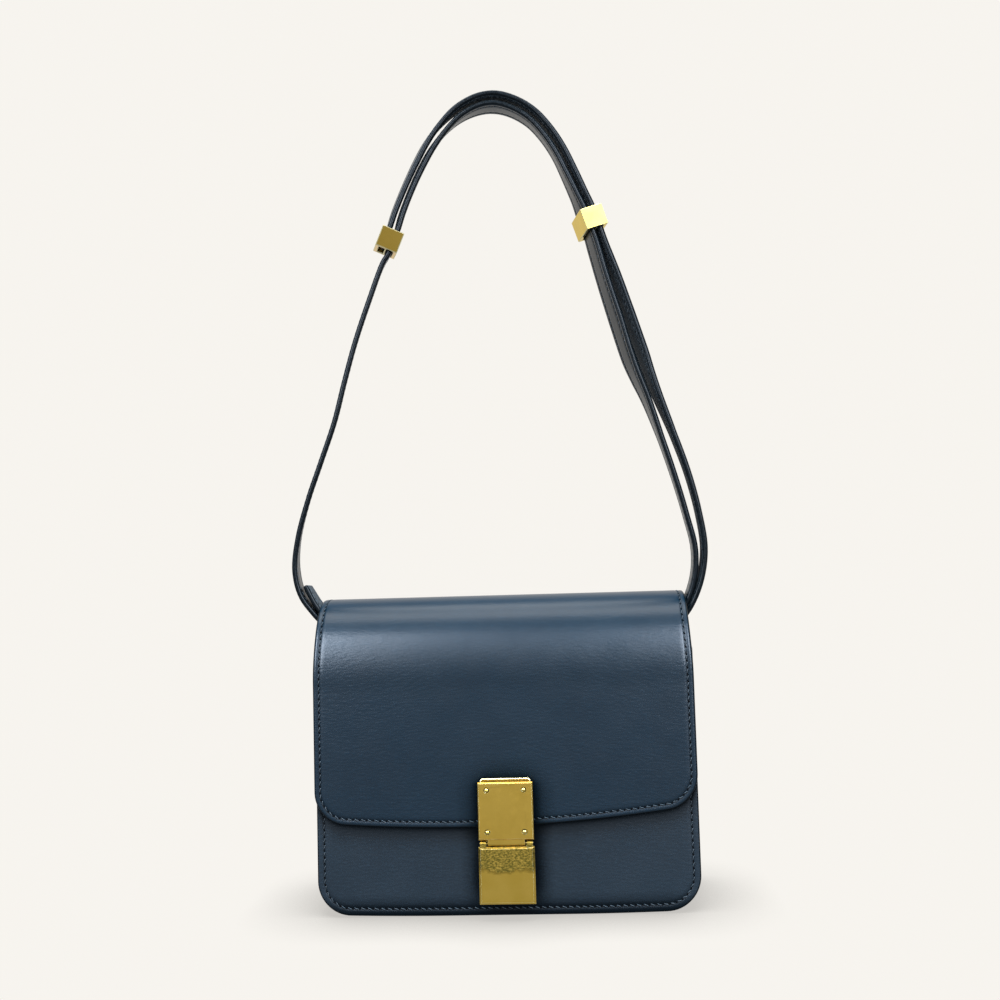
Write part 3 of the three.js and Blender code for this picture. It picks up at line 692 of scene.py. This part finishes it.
def through_knots(places, leans):
    """A centripetal Catmull-Rom curve through the knots, as close points with their leans."""
    step = 1.0
    before = 2 * places[0] - places[1]
    after = 2 * places[-1] - places[-2]
    padded = np.concatenate([[before], places, [after]])
    points, tilts = [], []
    for k in range(len(places) - 1):
        p0, p1, p2, p3 = padded[k:k + 4]
        d0, d1, d2 = (np.linalg.norm(b - a) ** 0.5 for a, b in ((p0, p1), (p1, p2), (p2, p3)))
        start = d1 * ((p1 - p0) / d0 - (p2 - p0) / (d0 + d1) + (p2 - p1) / d1)
        stop = d1 * ((p2 - p1) / d1 - (p3 - p1) / (d1 + d2) + (p3 - p2) / d2)
        count = max(2, round(np.linalg.norm(p2 - p1) / step))
        t = (np.arange(count) / count)[:, None]
        square = -3 * p1 + 3 * p2 - 2 * start - stop
        cube = 2 * p1 - 2 * p2 + start + stop
        points.append(p1 + start * t + square * t ** 2 + cube * t ** 3)
        tilts.append(leans[k] + (leans[k + 1] - leans[k]) * t[:, 0])
    points.append(places[-1:])
    tilts.append(leans[-1:])
    return np.concatenate(points), np.concatenate(tilts)


def strap_path():
    """The strap's middle line with its directions, closely spaced where it bends."""
    knots = strap_knots()
    places = np.array([place for place, _ in knots])
    leans = np.array([float(lean) for _, lean in knots])
    points, tilts = through_knots(places, leans)
    length = running_length(points)
    tangent = unit(np.gradient(points, length, axis=0))
    bend = np.linalg.norm(np.gradient(tangent, length, axis=0), axis=1)
    spacing = np.clip(STRAP_TURN / np.maximum(bend, TINY), *STRAP_SPACING)
    rows = np.cumsum(np.diff(length) / ((spacing[1:] + spacing[:-1]) / 2))
    at = np.interp(np.linspace(0, rows[-1], round(rows[-1])), [0, *rows], length)
    ends = np.array(STRAP_END_DEPTHS)
    clear = ends[-1] + STRAP_END_CLEAR
    inside = at[(at > clear) & (at < length[-1] - clear)]
    at = np.concatenate([[0], ends, inside, length[-1] - ends[::-1], [length[-1]]])
    turned = at_lengths(at, length, tangent)
    along, across, normal = strap_frame(turned, np.interp(at, length, tilts))
    place = at_lengths(at, length, points)
    return {"at": at, "place": place, "along": along, "across": across, "normal": normal}


def strap_skin(name, path, materials):
    """The strap as one closed band with rounded edges and stitch grooves on both faces."""
    depth = np.array(STRAP_SECTION)
    across = np.concatenate([depth - STRAP_WIDTH / 2, (STRAP_WIDTH / 2 - depth)[::-1][1:]])
    depth = np.concatenate([depth, depth[::-1][1:]])
    radius = EDGE_ROUNDNESS * STRAP_THICKNESS
    from_end = np.minimum(path["at"], path["at"][-1] - path["at"])[:, None]
    nearest = np.minimum(depth, from_end)
    up = STRAP_THICKNESS / 2 - edge_drop(nearest, radius) - groove(depth, STRAP_STITCH_INSET)
    middle = path["place"][:, None, :] + path["across"][:, None, :] * across[None, :, None]
    rise = path["normal"][:, None, :] * up[..., None]
    count = len(depth)
    ring = np.concatenate([middle + rise, (middle - rise)[:, ::-1]], 1)
    rows, sides = ring.shape[:2]
    faces = tube_faces(rows, sides)
    indices = []
    for j in range(sides):
        edge = min(j % count, count - 1 - j % count) < PAINTED_COLUMNS
        indices.append(1 if edge else (2 if j < count else 0))
    indices *= rows - 1
    for i, turned in ((0, False), (rows - 1, True)):
        for j in range(count - 1):
            face = [i * sides + k for k in (j, sides - 1 - j, sides - 2 - j, j + 1)]
            faces.append(face[::-1] if turned else face)
            indices.append(1)
    return new_object(name, ring.reshape(-1, 3), faces, materials, indices)


def strap_seams(path):
    """Stitches along both edges and on both faces of the strap, left out inside the keepers."""
    at = np.arange(STRAP_STITCH_INSET, path["at"][-1] - STRAP_STITCH_INSET, STITCH_PITCH)
    place, along, across, normal = (
        at_lengths(at, path["at"], path[key]) for key in ("place", "along", "across", "normal")
    )
    free = np.ones(len(at), bool)
    for knot in inner_knots():
        if knot["middle"]:
            offset = place - knot["place"] - knot["normal"] * LAYER_SPACING / 2
            beside = np.abs(offset @ knot["along"]) < KEEPER_HEIGHT / 2 + STITCH_CLEAR
            free &= ~(beside & (np.linalg.norm(offset, axis=1) < 2 * KEEPER_HEIGHT))
    seams = []
    for edge in (-1, 1):
        for face in (-1, 1):
            line = place + across * edge * (STRAP_WIDTH / 2 - STRAP_STITCH_INSET)
            line = line + normal * face * (STRAP_THICKNESS / 2 - GROOVE_DEPTH + STITCH_LIFT)
            seams.append((line[free], along[free], normal[free] * face))
    return seams


# Gusset

def gusset_grid():
    """The gusset's outer face: stations round the bag by columns across its depth."""
    side_steps, corner_steps, floor_steps = 46, 14, 34
    ends = np.array(GUSSET_END_DEPTHS)
    reach = FLOOR_TOP - LEFT_CORNER
    levels = 1 - np.concatenate([ends / reach, np.linspace(2 * ends[-1] / reach, 1, side_steps)])
    halves = []
    for side, corner in ((1, RIGHT_CORNER), (-1, LEFT_CORNER)):
        half = [(side * HALF_WIDTH, corner, -side, 0, level) for level in levels[:-1]]
        for turn in np.linspace(0, math.pi / 2, corner_steps):
            x = side * (HALF_WIDTH - corner + corner * math.cos(turn))
            half.append((x, corner * (1 - math.sin(turn)), -side * math.cos(turn), math.sin(turn), 0))
        halves.append(half)
    floor = np.linspace(HALF_WIDTH - RIGHT_CORNER, LEFT_CORNER - HALF_WIDTH, floor_steps)[1:-1]
    stations = [*halves[0], *((x, 0, 0, 1, 0) for x in floor), *halves[1][::-1]]
    across, fold, flange, top = gusset_columns()
    rows = []
    for x, z, in_x, in_z, level in stations:
        base = z + bottom_edge(x)
        height = base + (top - base) * level
        share = np.clip((height - PLEAT_START) / (PLEAT_FULL - PLEAT_START), 0, 1)
        depth = eased(share) * fold * PLEAT_DEPTH + flange * FLANGE_WIDTH
        place_z = height + in_z * depth
        clamped = np.minimum(place_z, FLANGE_TOP)
        behind_panel = (PANEL_THICKNESS + SEAM_GAP) * np.hypot(1, depth_slope(clamped))
        half = half_depth(clamped) - behind_panel
        rows.append(np.stack([x + in_x * depth, across * half, place_z], 1))
    return np.array(rows)


def gusset_columns():
    """Across the strip: share of the half depth, of the fold and of the flange, and its upper edge."""
    corners = np.array([
        (-1, 0, 1, FLANGE_TOP), (-1, 0, 0, CORNER_TOP), (-FLOOR_SHARE, 1, 0, FLOOR_TOP),
        (FLOOR_SHARE, 1, 0, FLOOR_TOP), (1, 0, 0, CORNER_TOP), (1, 0, 1, FLANGE_TOP),
    ])
    counts = (10, 18, 22, 18, 10)
    rows = []
    for k, count in enumerate(counts):
        share = (np.arange(count) / count)[:, None]
        rows.append(corners[k] + (corners[k + 1] - corners[k]) * share)
    rows.append(corners[-1:])
    columns = np.concatenate(rows)
    weights = np.array([1, 2, 3, 2, 1])
    soft = np.stack([np.convolve(column, weights / weights.sum(), "same") for column in columns.T])
    soft[:, :2], soft[:, -2:] = columns[:2].T, columns[-2:].T
    return soft


def gusset_skin(name, materials):
    """The gusset as one closed folded sheet with painted ends."""
    grid = gusset_grid()
    rows, columns = grid.shape[:2]
    along = np.gradient(grid, axis=0)
    across = np.gradient(grid, axis=1)
    normal = np.cross(along, across)
    normal /= np.maximum(np.linalg.norm(normal, axis=2), TINY)[..., None]
    outward = grid - np.array([0, 0, BAG_HEIGHT / 2])
    if (normal * outward).sum() < 0:
        normal = -normal
    length = running_length(grid)
    from_end = np.minimum(length, length[-1] - length)
    drop = edge_drop(from_end, GUSSET_ROUNDNESS * GUSSET_THICKNESS)[..., None]
    outer = grid - normal * drop
    inner = grid - normal * (GUSSET_THICKNESS - drop)
    count = rows * columns
    faces, indices = [], []
    for i in range(rows - 1):
        for j in range(columns - 1):
            a, b = i * columns + j, (i + 1) * columns + j
            faces += [(a, b, b + 1, a + 1), (count + a, count + a + 1, count + b + 1, count + b)]
            edge = int(min(i, rows - 2 - i) < len(GUSSET_END_DEPTHS) - 1)
            indices += [edge, edge or 2]
    ids = np.arange(count).reshape(rows, columns)
    rim = np.concatenate([ids[:-1, 0], ids[-1, :-1], ids[:0:-1, -1], ids[0, :0:-1]]).tolist()
    faces += rim_faces(rim, count)
    indices += [1] * len(rim)
    points = np.concatenate([outer.reshape(-1, 3), inner.reshape(-1, 3)])
    return new_object(name, points, faces, materials, indices)


# Materials

class Look:
    """A material under construction. Its coordinates are the object's own, in millimetres."""

    def __init__(self, name):
        self.material = bpy.data.materials.new(name)
        self.material.use_nodes = True
        self.tree = self.material.node_tree
        self.shader = self.tree.nodes["Principled BSDF"]
        place = self.add("ShaderNodeTexCoord")
        scale = self.add("ShaderNodeVectorMath", operation="SCALE")
        scale.inputs["Scale"].default_value = 1 / MM
        self.link(place.outputs["Object"], scale.inputs[0])
        self.place = scale.outputs[0]

    def add(self, kind, **settings):
        node = self.tree.nodes.new(kind)
        for key, value in settings.items():
            setattr(node, key, value)
        return node

    def link(self, start, end):
        self.tree.links.new(start, end)

    def stretched(self, stretch):
        node = self.add("ShaderNodeMapping")
        node.inputs["Scale"].default_value = stretch
        self.link(self.place, node.inputs["Vector"])
        return node.outputs["Vector"]

    def noise(self, size, detail=2.0, rough=0.5, stretch=(1, 1, 1)):
        """Noise from 0 to 1 whose features are about size millimetres across."""
        node = self.add("ShaderNodeTexNoise")
        node.inputs["Scale"].default_value = 1 / size
        node.inputs["Detail"].default_value = detail
        node.inputs["Roughness"].default_value = rough
        self.link(self.stretched(stretch), node.inputs["Vector"])
        return node.outputs["Fac"]

    def spread(self, value, low, high, to_low=0.0, to_high=1.0):
        """A value from low to high brought to another range, and held there."""
        node = self.add("ShaderNodeMapRange")
        ends = {"From Min": low, "From Max": high, "To Min": to_low, "To Max": to_high}
        for key, number in ends.items():
            node.inputs[key].default_value = number
        self.link(value, node.inputs["Value"])
        return node.outputs["Result"]

    def between(self, share, dark, light):
        """A colour between two, each a colour or another node's output."""
        node = self.add("ShaderNodeMix", data_type="RGBA")
        self.link(share, node.inputs["Factor"])
        for index, colour in zip(MIX_COLOURS, (dark, light)):
            if isinstance(colour, tuple):
                node.inputs[index].default_value = (*colour, 1)
            else:
                self.link(colour, node.inputs[index])
        return node.outputs[MIX_COLOUR_RESULT]

    def openness(self, reach):
        """1 in the open, less within reach (mm) of another surface."""
        node = self.add("ShaderNodeAmbientOcclusion", samples=8)
        node.inputs["Distance"].default_value = reach * MM
        return node.outputs["AO"]

    def math(self, operation, a, b):
        node = self.add("ShaderNodeMath", operation=operation)
        self.link(a, node.inputs[0])
        self.link(b, node.inputs[1])
        return node.outputs[0]

    def bump(self, height, deep, normal=None):
        """Relief of a depth in millimetres, on top of another relief."""
        node = self.add("ShaderNodeBump")
        node.inputs["Distance"].default_value = deep * MM
        self.link(height, node.inputs["Height"])
        if normal is not None:
            self.link(normal, node.inputs["Normal"])
        return node.outputs["Normal"]

    def set(self, **values):
        """Sets or links sockets of the shader, named with underscores for spaces."""
        for key, value in values.items():
            socket = self.shader.inputs[key.replace("_", " ")]
            if isinstance(value, bpy.types.NodeSocket):
                self.link(value, socket)
            else:
                socket.default_value = (*value, 1) if isinstance(value, tuple) else value
        return self.material


def calf(name, dark, light, roughness, crease, reach):
    """Smooth box calf: fine creases one way, slow changes of colour and gloss, and painted contact
    shade, darker and less reflective within reach (mm) of what lies on it. Crease is the noise
    stretch that runs the creases."""
    look = Look(name)
    streaks = look.noise(1.1, stretch=crease)
    fine = look.noise(0.45, stretch=crease)
    base = look.between(look.spread(look.noise(30), 0.3, 0.7), dark, light)
    creased = look.between(look.spread(streaks, 0.5, 0.9), base, tuple(1.25 * c for c in light))
    patches = look.noise(60, detail=1)
    relief = look.math("MULTIPLY", streaks, look.spread(patches, 0.25, 0.75, 0.5, 1.0))
    normal = look.bump(fine, 0.012, look.bump(relief, 0.085))
    gloss = look.spread(look.noise(14, detail=1), 0.1, 0.9, roughness - 0.02, roughness + 0.02)
    # Painted contact shade: colour darkens and reflection weakens within reach of another surface,
    # where shade falls.
    clear = look.openness(reach)
    shaded = look.between(look.spread(clear, *CONTACT_RANGE), tuple(0.25 * c for c in dark), creased)
    shaded_shine = look.spread(clear, *CONTACT_RANGE, 0.05, 0.4)
    return look.set(Base_Color=shaded, Roughness=gloss, Normal=normal, Specular_IOR_Level=shaded_shine)


def edge_paint(name, colour):
    """Thick glossy paint on a cut edge."""
    look = Look(name)
    patch = look.noise(2.2, detail=3)
    base = look.between(look.spread(patch, 0.35, 0.75), colour, tuple(2 * c for c in colour))
    normal = look.bump(look.noise(4), 0.02)
    rough = look.spread(patch, 0.3, 0.7, 0.26, 0.33)
    return look.set(Base_Color=base, Roughness=rough, Normal=normal, Specular_IOR_Level=0.15)


def flesh_side(name, dark, light):
    """The back of the leather, matt with short fibres and worn patches."""
    look = Look(name)
    fibre = look.noise(0.6, detail=4, rough=0.7)
    patches = look.noise(2.6, detail=4, rough=0.65)
    base = look.between(look.spread(patches, 0.38, 0.64), dark, light)
    mixed = look.between(look.spread(fibre, 0.5, 0.8, 0, 0.4), base, light)
    rough = look.spread(fibre, 0.3, 0.7, 0.62, 0.78)
    return look.set(
        Base_Color=mixed, Roughness=rough, Normal=look.bump(fibre, 0.05), Specular_IOR_Level=0.3,
    )


def thread(name, dark, light):
    """Waxed sewing thread with a fine twist."""
    look = Look(name)
    twist = look.noise(0.25)
    base = look.between(look.spread(twist, 0.35, 0.7), dark, light)
    return look.set(Base_Color=base, Roughness=0.55, Normal=look.bump(twist, 0.05), Sheen_Weight=0.15)


def awl_hole(name, dark, light):
    """Painted shade for the inside of a hole, matt and nearly black."""
    look = Look(name)
    colour = look.between(look.noise(0.5), dark, light)
    return look.set(Base_Color=colour, Roughness=0.9, Specular_IOR_Level=0.08)


def brass(name, dark, light, roughness):
    """Polished brass with fine upright brushing, duller handling marks and a slight tarnish, and
    painted shade that darkens its inner corners and gaps."""
    look = Look(name)
    tarnish = look.noise(9, detail=3, rough=0.55)
    base = look.between(look.spread(tarnish, 0.3, 0.7), dark, light)
    brushed = look.noise(0.5, stretch=(1, 1, 0.12))
    marks = look.spread(look.noise(2.2, detail=4, rough=0.6), 0.5, 0.8)
    rough = look.spread(marks, 0, 1, roughness, roughness + 0.025)
    # Painted shade: the colour darkens within METAL_REACH of another surface, in corners and gaps.
    clear = look.spread(look.openness(METAL_REACH), 0.35, 0.85)
    base = look.between(clear, tuple(0.2 * c for c in dark), base)
    return look.set(Base_Color=base, Metallic=1.0, Roughness=rough, Normal=look.bump(brushed, 0.003))


def worn_brass(name, dark, light, roughness):
    """The lever's brass: its upper part is dulled and scratched by the thumb down to a wavy line."""
    look = Look(name)
    split = look.add("ShaderNodeSeparateXYZ")
    look.link(look.place, split.inputs[0])
    line = float(BAG_ORIGIN[2]) / MM + HINGE_HEIGHT - LEVER_DROP - LEVER_WORN
    wavy = look.spread(look.noise(5, detail=3, rough=0.6), 0.3, 0.7, -1.4, 1.4)
    level = look.math("ADD", split.outputs["Z"], wavy)
    worn = look.spread(level, line - 0.35, line + 0.35)
    rubbed = look.spread(level, line - 1.8, line - 0.2)
    scratches = look.noise(0.95, detail=5, rough=0.7, stretch=(0.8, 1, 1.5))
    olive = tuple(share * c for share, c in zip(WORN_SHARES, dark))
    flecks = tuple(0.75 * c for c in light)
    tarnished = look.between(look.spread(scratches, 0.43, 0.64), olive, flecks)
    clean = look.between(look.spread(look.noise(9, detail=3), 0.3, 0.7), dark, light)
    shaded = look.between(rubbed, clean, tuple(0.62 * c for c in dark))
    base = look.between(worn, shaded, tarnished)
    brushed = look.noise(0.5, stretch=(0.12, 1, 1))
    rough = look.spread(worn, 0, 1, roughness, roughness + 0.12)
    normal = look.bump(look.math("MULTIPLY", scratches, worn), 0.02, look.bump(brushed, 0.003))
    return look.set(Base_Color=base, Metallic=1.0, Roughness=rough, Normal=normal)


# Pieces

def dress(piece, slot, *nodes):
    """Rides a finished piece on the bag and lets it stand for CAD nodes."""
    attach(piece, "bag")
    if nodes:
        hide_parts(*nodes)


flap_calf = calf(
    "flap_calf", (0.0005, 0.0155, 0.03), (0.0012, 0.0185, 0.035), 0.3, (0.35, 1, 1), CONTACT_REACH,
)
panel_calf = calf(
    "panel_calf", (0.009, 0.023, 0.036), (0.0115, 0.028, 0.043), 0.34, (0.35, 1, 1), CONTACT_REACH,
)
strap_calf = calf(
    "strap_calf", (0.0015, 0.0065, 0.011), (0.0025, 0.009, 0.0145), 0.32, (1, 0.6, 1), STRAP_REACH,
)
painted = edge_paint("painted_edge", (0.0008, 0.0036, 0.0056))
lining = flesh_side("lining", (0.035, 0.036, 0.036), (0.06, 0.06, 0.057))
strap_lining = flesh_side("strap_lining", (0.033, 0.047, 0.058), (0.083, 0.104, 0.118))
blue_thread = thread("blue_thread", (0.022, 0.042, 0.058), (0.052, 0.085, 0.105))
# The holes are painted shade: nearly black where a real hole lies in shadow.
hole_shade = awl_hole("awl_hole", (0.0015, 0.002, 0.003), (0.004, 0.005, 0.007))

flap_sheet = FlapSheet(FLAP_CLEARANCE + FLAP_THICKNESS / 2)
flap_line = evenly(flap_outline(flap_sheet), OUTLINE_SPACING)
flap_piece = leather_piece(
    "flap_leather_skin", flap_line, flap_sheet.place, FLAP_THICKNESS, FLAP_STITCH_INSET,
    (flap_calf, painted, lining), flip=True,
)
dress(flap_piece, "flap_leather", "flap")
flap_top = FLAP_THICKNESS / 2 - GROOVE_DEPTH + STITCH_LIFT
flap_seam = sheet_seam(flap_line, flap_sheet.place, flap_top, FLAP_STITCH_INSET)
dress(stitch_object("flap_stitching", [flap_seam], (blue_thread, hole_shade)), "thread")

panel_line = evenly(panel_outline(), OUTLINE_SPACING)
panel_top = PANEL_THICKNESS / 2 - GROOVE_DEPTH + STITCH_LIFT
for side, name, node in ((-1, "front", "front_panel"), (1, "back", "back_panel")):
    place = panel_place(side)
    made = leather_piece(
        f"{name}_panel_skin", panel_line, place, PANEL_THICKNESS, PANEL_STITCH_INSET,
        (panel_calf, painted, lining), flip=side > 0,
    )
    dress(made, "panel_leather", node)
    seam = sheet_seam(panel_line, place, panel_top, PANEL_STITCH_INSET)
    dress(stitch_object(f"{name}_panel_stitching", [seam], (blue_thread, hole_shade)), "thread")

dress(gusset_skin("gusset_skin", (panel_calf, painted, lining)), "panel_leather", "gusset")

route = strap_path()
dress(strap_skin("strap_skin", route, (strap_calf, painted, strap_lining)), "strap_leather", "strap")
dress(stitch_object("strap_stitching", strap_seams(route), (blue_thread, hole_shade)), "thread")

clasp_brass = brass("clasp_brass", (0.74, 0.45, 0.07), (0.81, 0.5, 0.085), 0.24)
rivet_brass = brass("rivet_brass", (0.82, 0.58, 0.12), (0.88, 0.64, 0.16), 0.2)
lever_brass = worn_brass("lever_brass", (0.76, 0.47, 0.07), (0.83, 0.52, 0.09), 0.22)
keeper_brass = brass("keeper_brass", (0.72, 0.5, 0.023), (0.8, 0.56, 0.03), 0.12)
# Paler brass for the bevels of the larger metal parts: a painted highlight along their edges.
edge_highlight = brass("edge_highlight", (0.95, 0.83, 0.42), (1.0, 0.9, 0.52), 0.5)


def metal_for(name):
    if name.startswith("clasp_rivet"):
        return rivet_brass
    if name == "clasp_lever":
        return lever_brass
    return keeper_brass if name == "keeper_right" else clasp_brass


for name, node in frame["nodes"].items():
    if name.startswith(("clasp", "keeper", "strap_bracket")):
        for held in node.material_slots:
            held.material = metal_for(name)
        weld = node.modifiers.new("weld", "WELD")
        weld.merge_threshold = WELD_WITHIN * MM
        bevel = node.modifiers.new("soft_edges", "BEVEL")
        bevel.segments = 2
        bevel.limit_method = "ANGLE"
        bevel.angle_limit = BEVEL_ANGLE
        if name.startswith(("clasp_rivet", "clasp_hinge")):
            bevel.width = SMALL_EDGE * MM
        else:
            bevel.width = METAL_EDGE * MM
            # The bevels take the paler brass, a painted highlight along the edges.
            node.data.materials.append(edge_highlight)
            bevel.material = len(node.material_slots) - 1


# Studio

def studio_sweep():
    """A wide pale bowl round the bag: floor and backdrop in one seamless surface."""
    flat_reach, bend, wall = 2000, 1200, 3000
    sides, bend_steps = 96, 16
    profile = [(flat_reach * share, 0) for share in (0, 0.25, 0.5, 1)]
    for turn in np.linspace(0, math.pi / 2, bend_steps)[1:]:
        profile.append((flat_reach + bend * math.sin(turn), bend * (1 - math.cos(turn))))
    profile.append((flat_reach + bend, wall))
    points = []
    for r, z in profile:
        for k in range(sides):
            turn = 2 * math.pi * k / sides
            points.append((r * math.cos(turn), r * math.sin(turn), z - FLOOR_DROP))
    faces = tube_faces(len(profile), sides)
    sweep = new_object("studio_sweep", points, faces, [paper_look()], [0] * len(faces))


def paper_look():
    """Pale paper that is even to the eye but for the soft shade where the bag shelters it. It lights
    the bag with dim daylight from the front and with brighter paper white from behind."""
    look = Look("studio_paper")
    path = look.add("ShaderNodeLightPath")
    split = look.add("ShaderNodeSeparateXYZ")
    look.link(look.place, split.inputs[0])
    lighting = look.spread(split.outputs["Y"], *FRONT_TO_BACK, 0.48, 0.85)
    seen = look.spread(look.openness(SHELTER_REACH), 0.45, 1.0, 0.6, 1.0)
    strength = look.add("ShaderNodeMix", data_type="FLOAT")
    look.link(path.outputs["Is Camera Ray"], strength.inputs["Factor"])
    for index, value in zip(MIX_NUMBERS, (lighting, seen)):
        look.link(value, strength.inputs[index])
    tint = look.between(look.spread(split.outputs["Y"], *FRONT_TO_BACK), DAYLIGHT, PAPER)
    glow = look.add("ShaderNodeEmission")
    look.link(look.between(path.outputs["Is Camera Ray"], tint, PAPER), glow.inputs["Color"])
    look.link(strength.outputs[0], glow.inputs["Strength"])
    look.link(glow.outputs[0], look.tree.nodes["Material Output"].inputs["Surface"])
    look.tree.nodes.remove(look.shader)
    return look.material


def softbox(name, azimuth, elevation, distance, width, height, power, gloss=True):
    """A rectangular soft light aimed at the bag, with its azimuth and elevation in degrees to the
    right of the front and upwards. It either makes the gloss on the pieces or lights them."""
    turn, up = math.radians(azimuth), math.radians(elevation)
    aim = Vector(world((0, 0, AIM_HEIGHT)))
    out = Vector((math.sin(turn) * math.cos(up), -math.cos(turn) * math.cos(up), math.sin(up)))
    light = bpy.data.lights.new(name, "AREA")
    light.shape = "RECTANGLE"
    light.size = width
    light.size_y = height
    light.energy = power
    light.color = DAYLIGHT
    made = bpy.data.objects.new(name, light)
    made.location = aim + out * distance
    made.rotation_mode = "QUATERNION"
    made.rotation_quaternion = out.to_track_quat("Z", "Y")
    made.visible_camera = False
    made.visible_glossy = gloss
    made.visible_diffuse = not gloss
    bpy.context.scene.collection.objects.link(made)
    return made


def shade(light, names):
    """Keep a light off some of the metal parts, as a card held in front of it would."""
    shaded = bpy.data.collections.new(light.name + "_shaded")
    for name in names:
        shaded.objects.link(frame["nodes"][name])
    light.light_linking.receiver_collection = shaded
    for held in shaded.collection_objects:
        held.light_linking.link_state = "EXCLUDE"


def aim_camera():
    """The camera where the photograph was taken from."""
    yaw, pitch, roll = CAMERA_YAW, CAMERA_PITCH, CAMERA_ROLL
    level = Vector((math.sin(yaw), math.cos(yaw), 0))
    right = Vector((math.cos(yaw), -math.sin(yaw), 0))
    up = Vector((0, 0, 1))
    forward = level * math.cos(pitch) + up * math.sin(pitch)
    raised = up * math.cos(pitch) - level * math.sin(pitch)
    side = right * math.cos(roll) + raised * math.sin(roll)
    top = raised * math.cos(roll) - right * math.sin(roll)
    data = bpy.data.cameras.new("photo_camera")
    data.sensor_width = SENSOR_WIDTH
    data.lens = FOCAL_SHARE * SENSOR_WIDTH
    data.clip_start = CLIP_START
    camera = bpy.data.objects.new("photo_camera", data)
    turned = Matrix((side, top, -forward)).transposed().to_4x4()
    turned.translation = Vector(world(CAMERA_PLACE))
    camera.matrix_world = turned
    bpy.context.scene.collection.objects.link(camera)
    bpy.context.scene.camera = camera


def studio_world():
    sky = bpy.data.worlds.new("studio_world")
    sky.use_nodes = True
    background = sky.node_tree.nodes["Background"]
    background.inputs["Color"].default_value = (*DAYLIGHT, 1)
    background.inputs["Strength"].default_value = SKY_STRENGTH
    bpy.context.scene.world = sky
    bpy.context.scene.view_settings.view_transform = "Standard"


studio_sweep()
left_gloss = softbox(
    "left_gloss", azimuth=-28.5, elevation=28, distance=1.9, width=0.7, height=1.2, power=60
)
right_gloss = softbox(
    "right_gloss", azimuth=25, elevation=25, distance=1.9, width=0.7, height=1.25, power=56
)
softbox(
    "high_light", azimuth=-8, elevation=76, distance=1.5, width=0.85, height=0.85, power=58, gloss=False
)
top_gloss = softbox(
    "top_gloss", azimuth=0, elevation=92, distance=1.6, width=1.6, height=1.2, power=26
)
top_gloss.data.color = PAPER
shade(left_gloss, ("keeper_left", "keeper_right"))
shade(right_gloss, ("keeper_left",))
studio_world()
aim_camera()
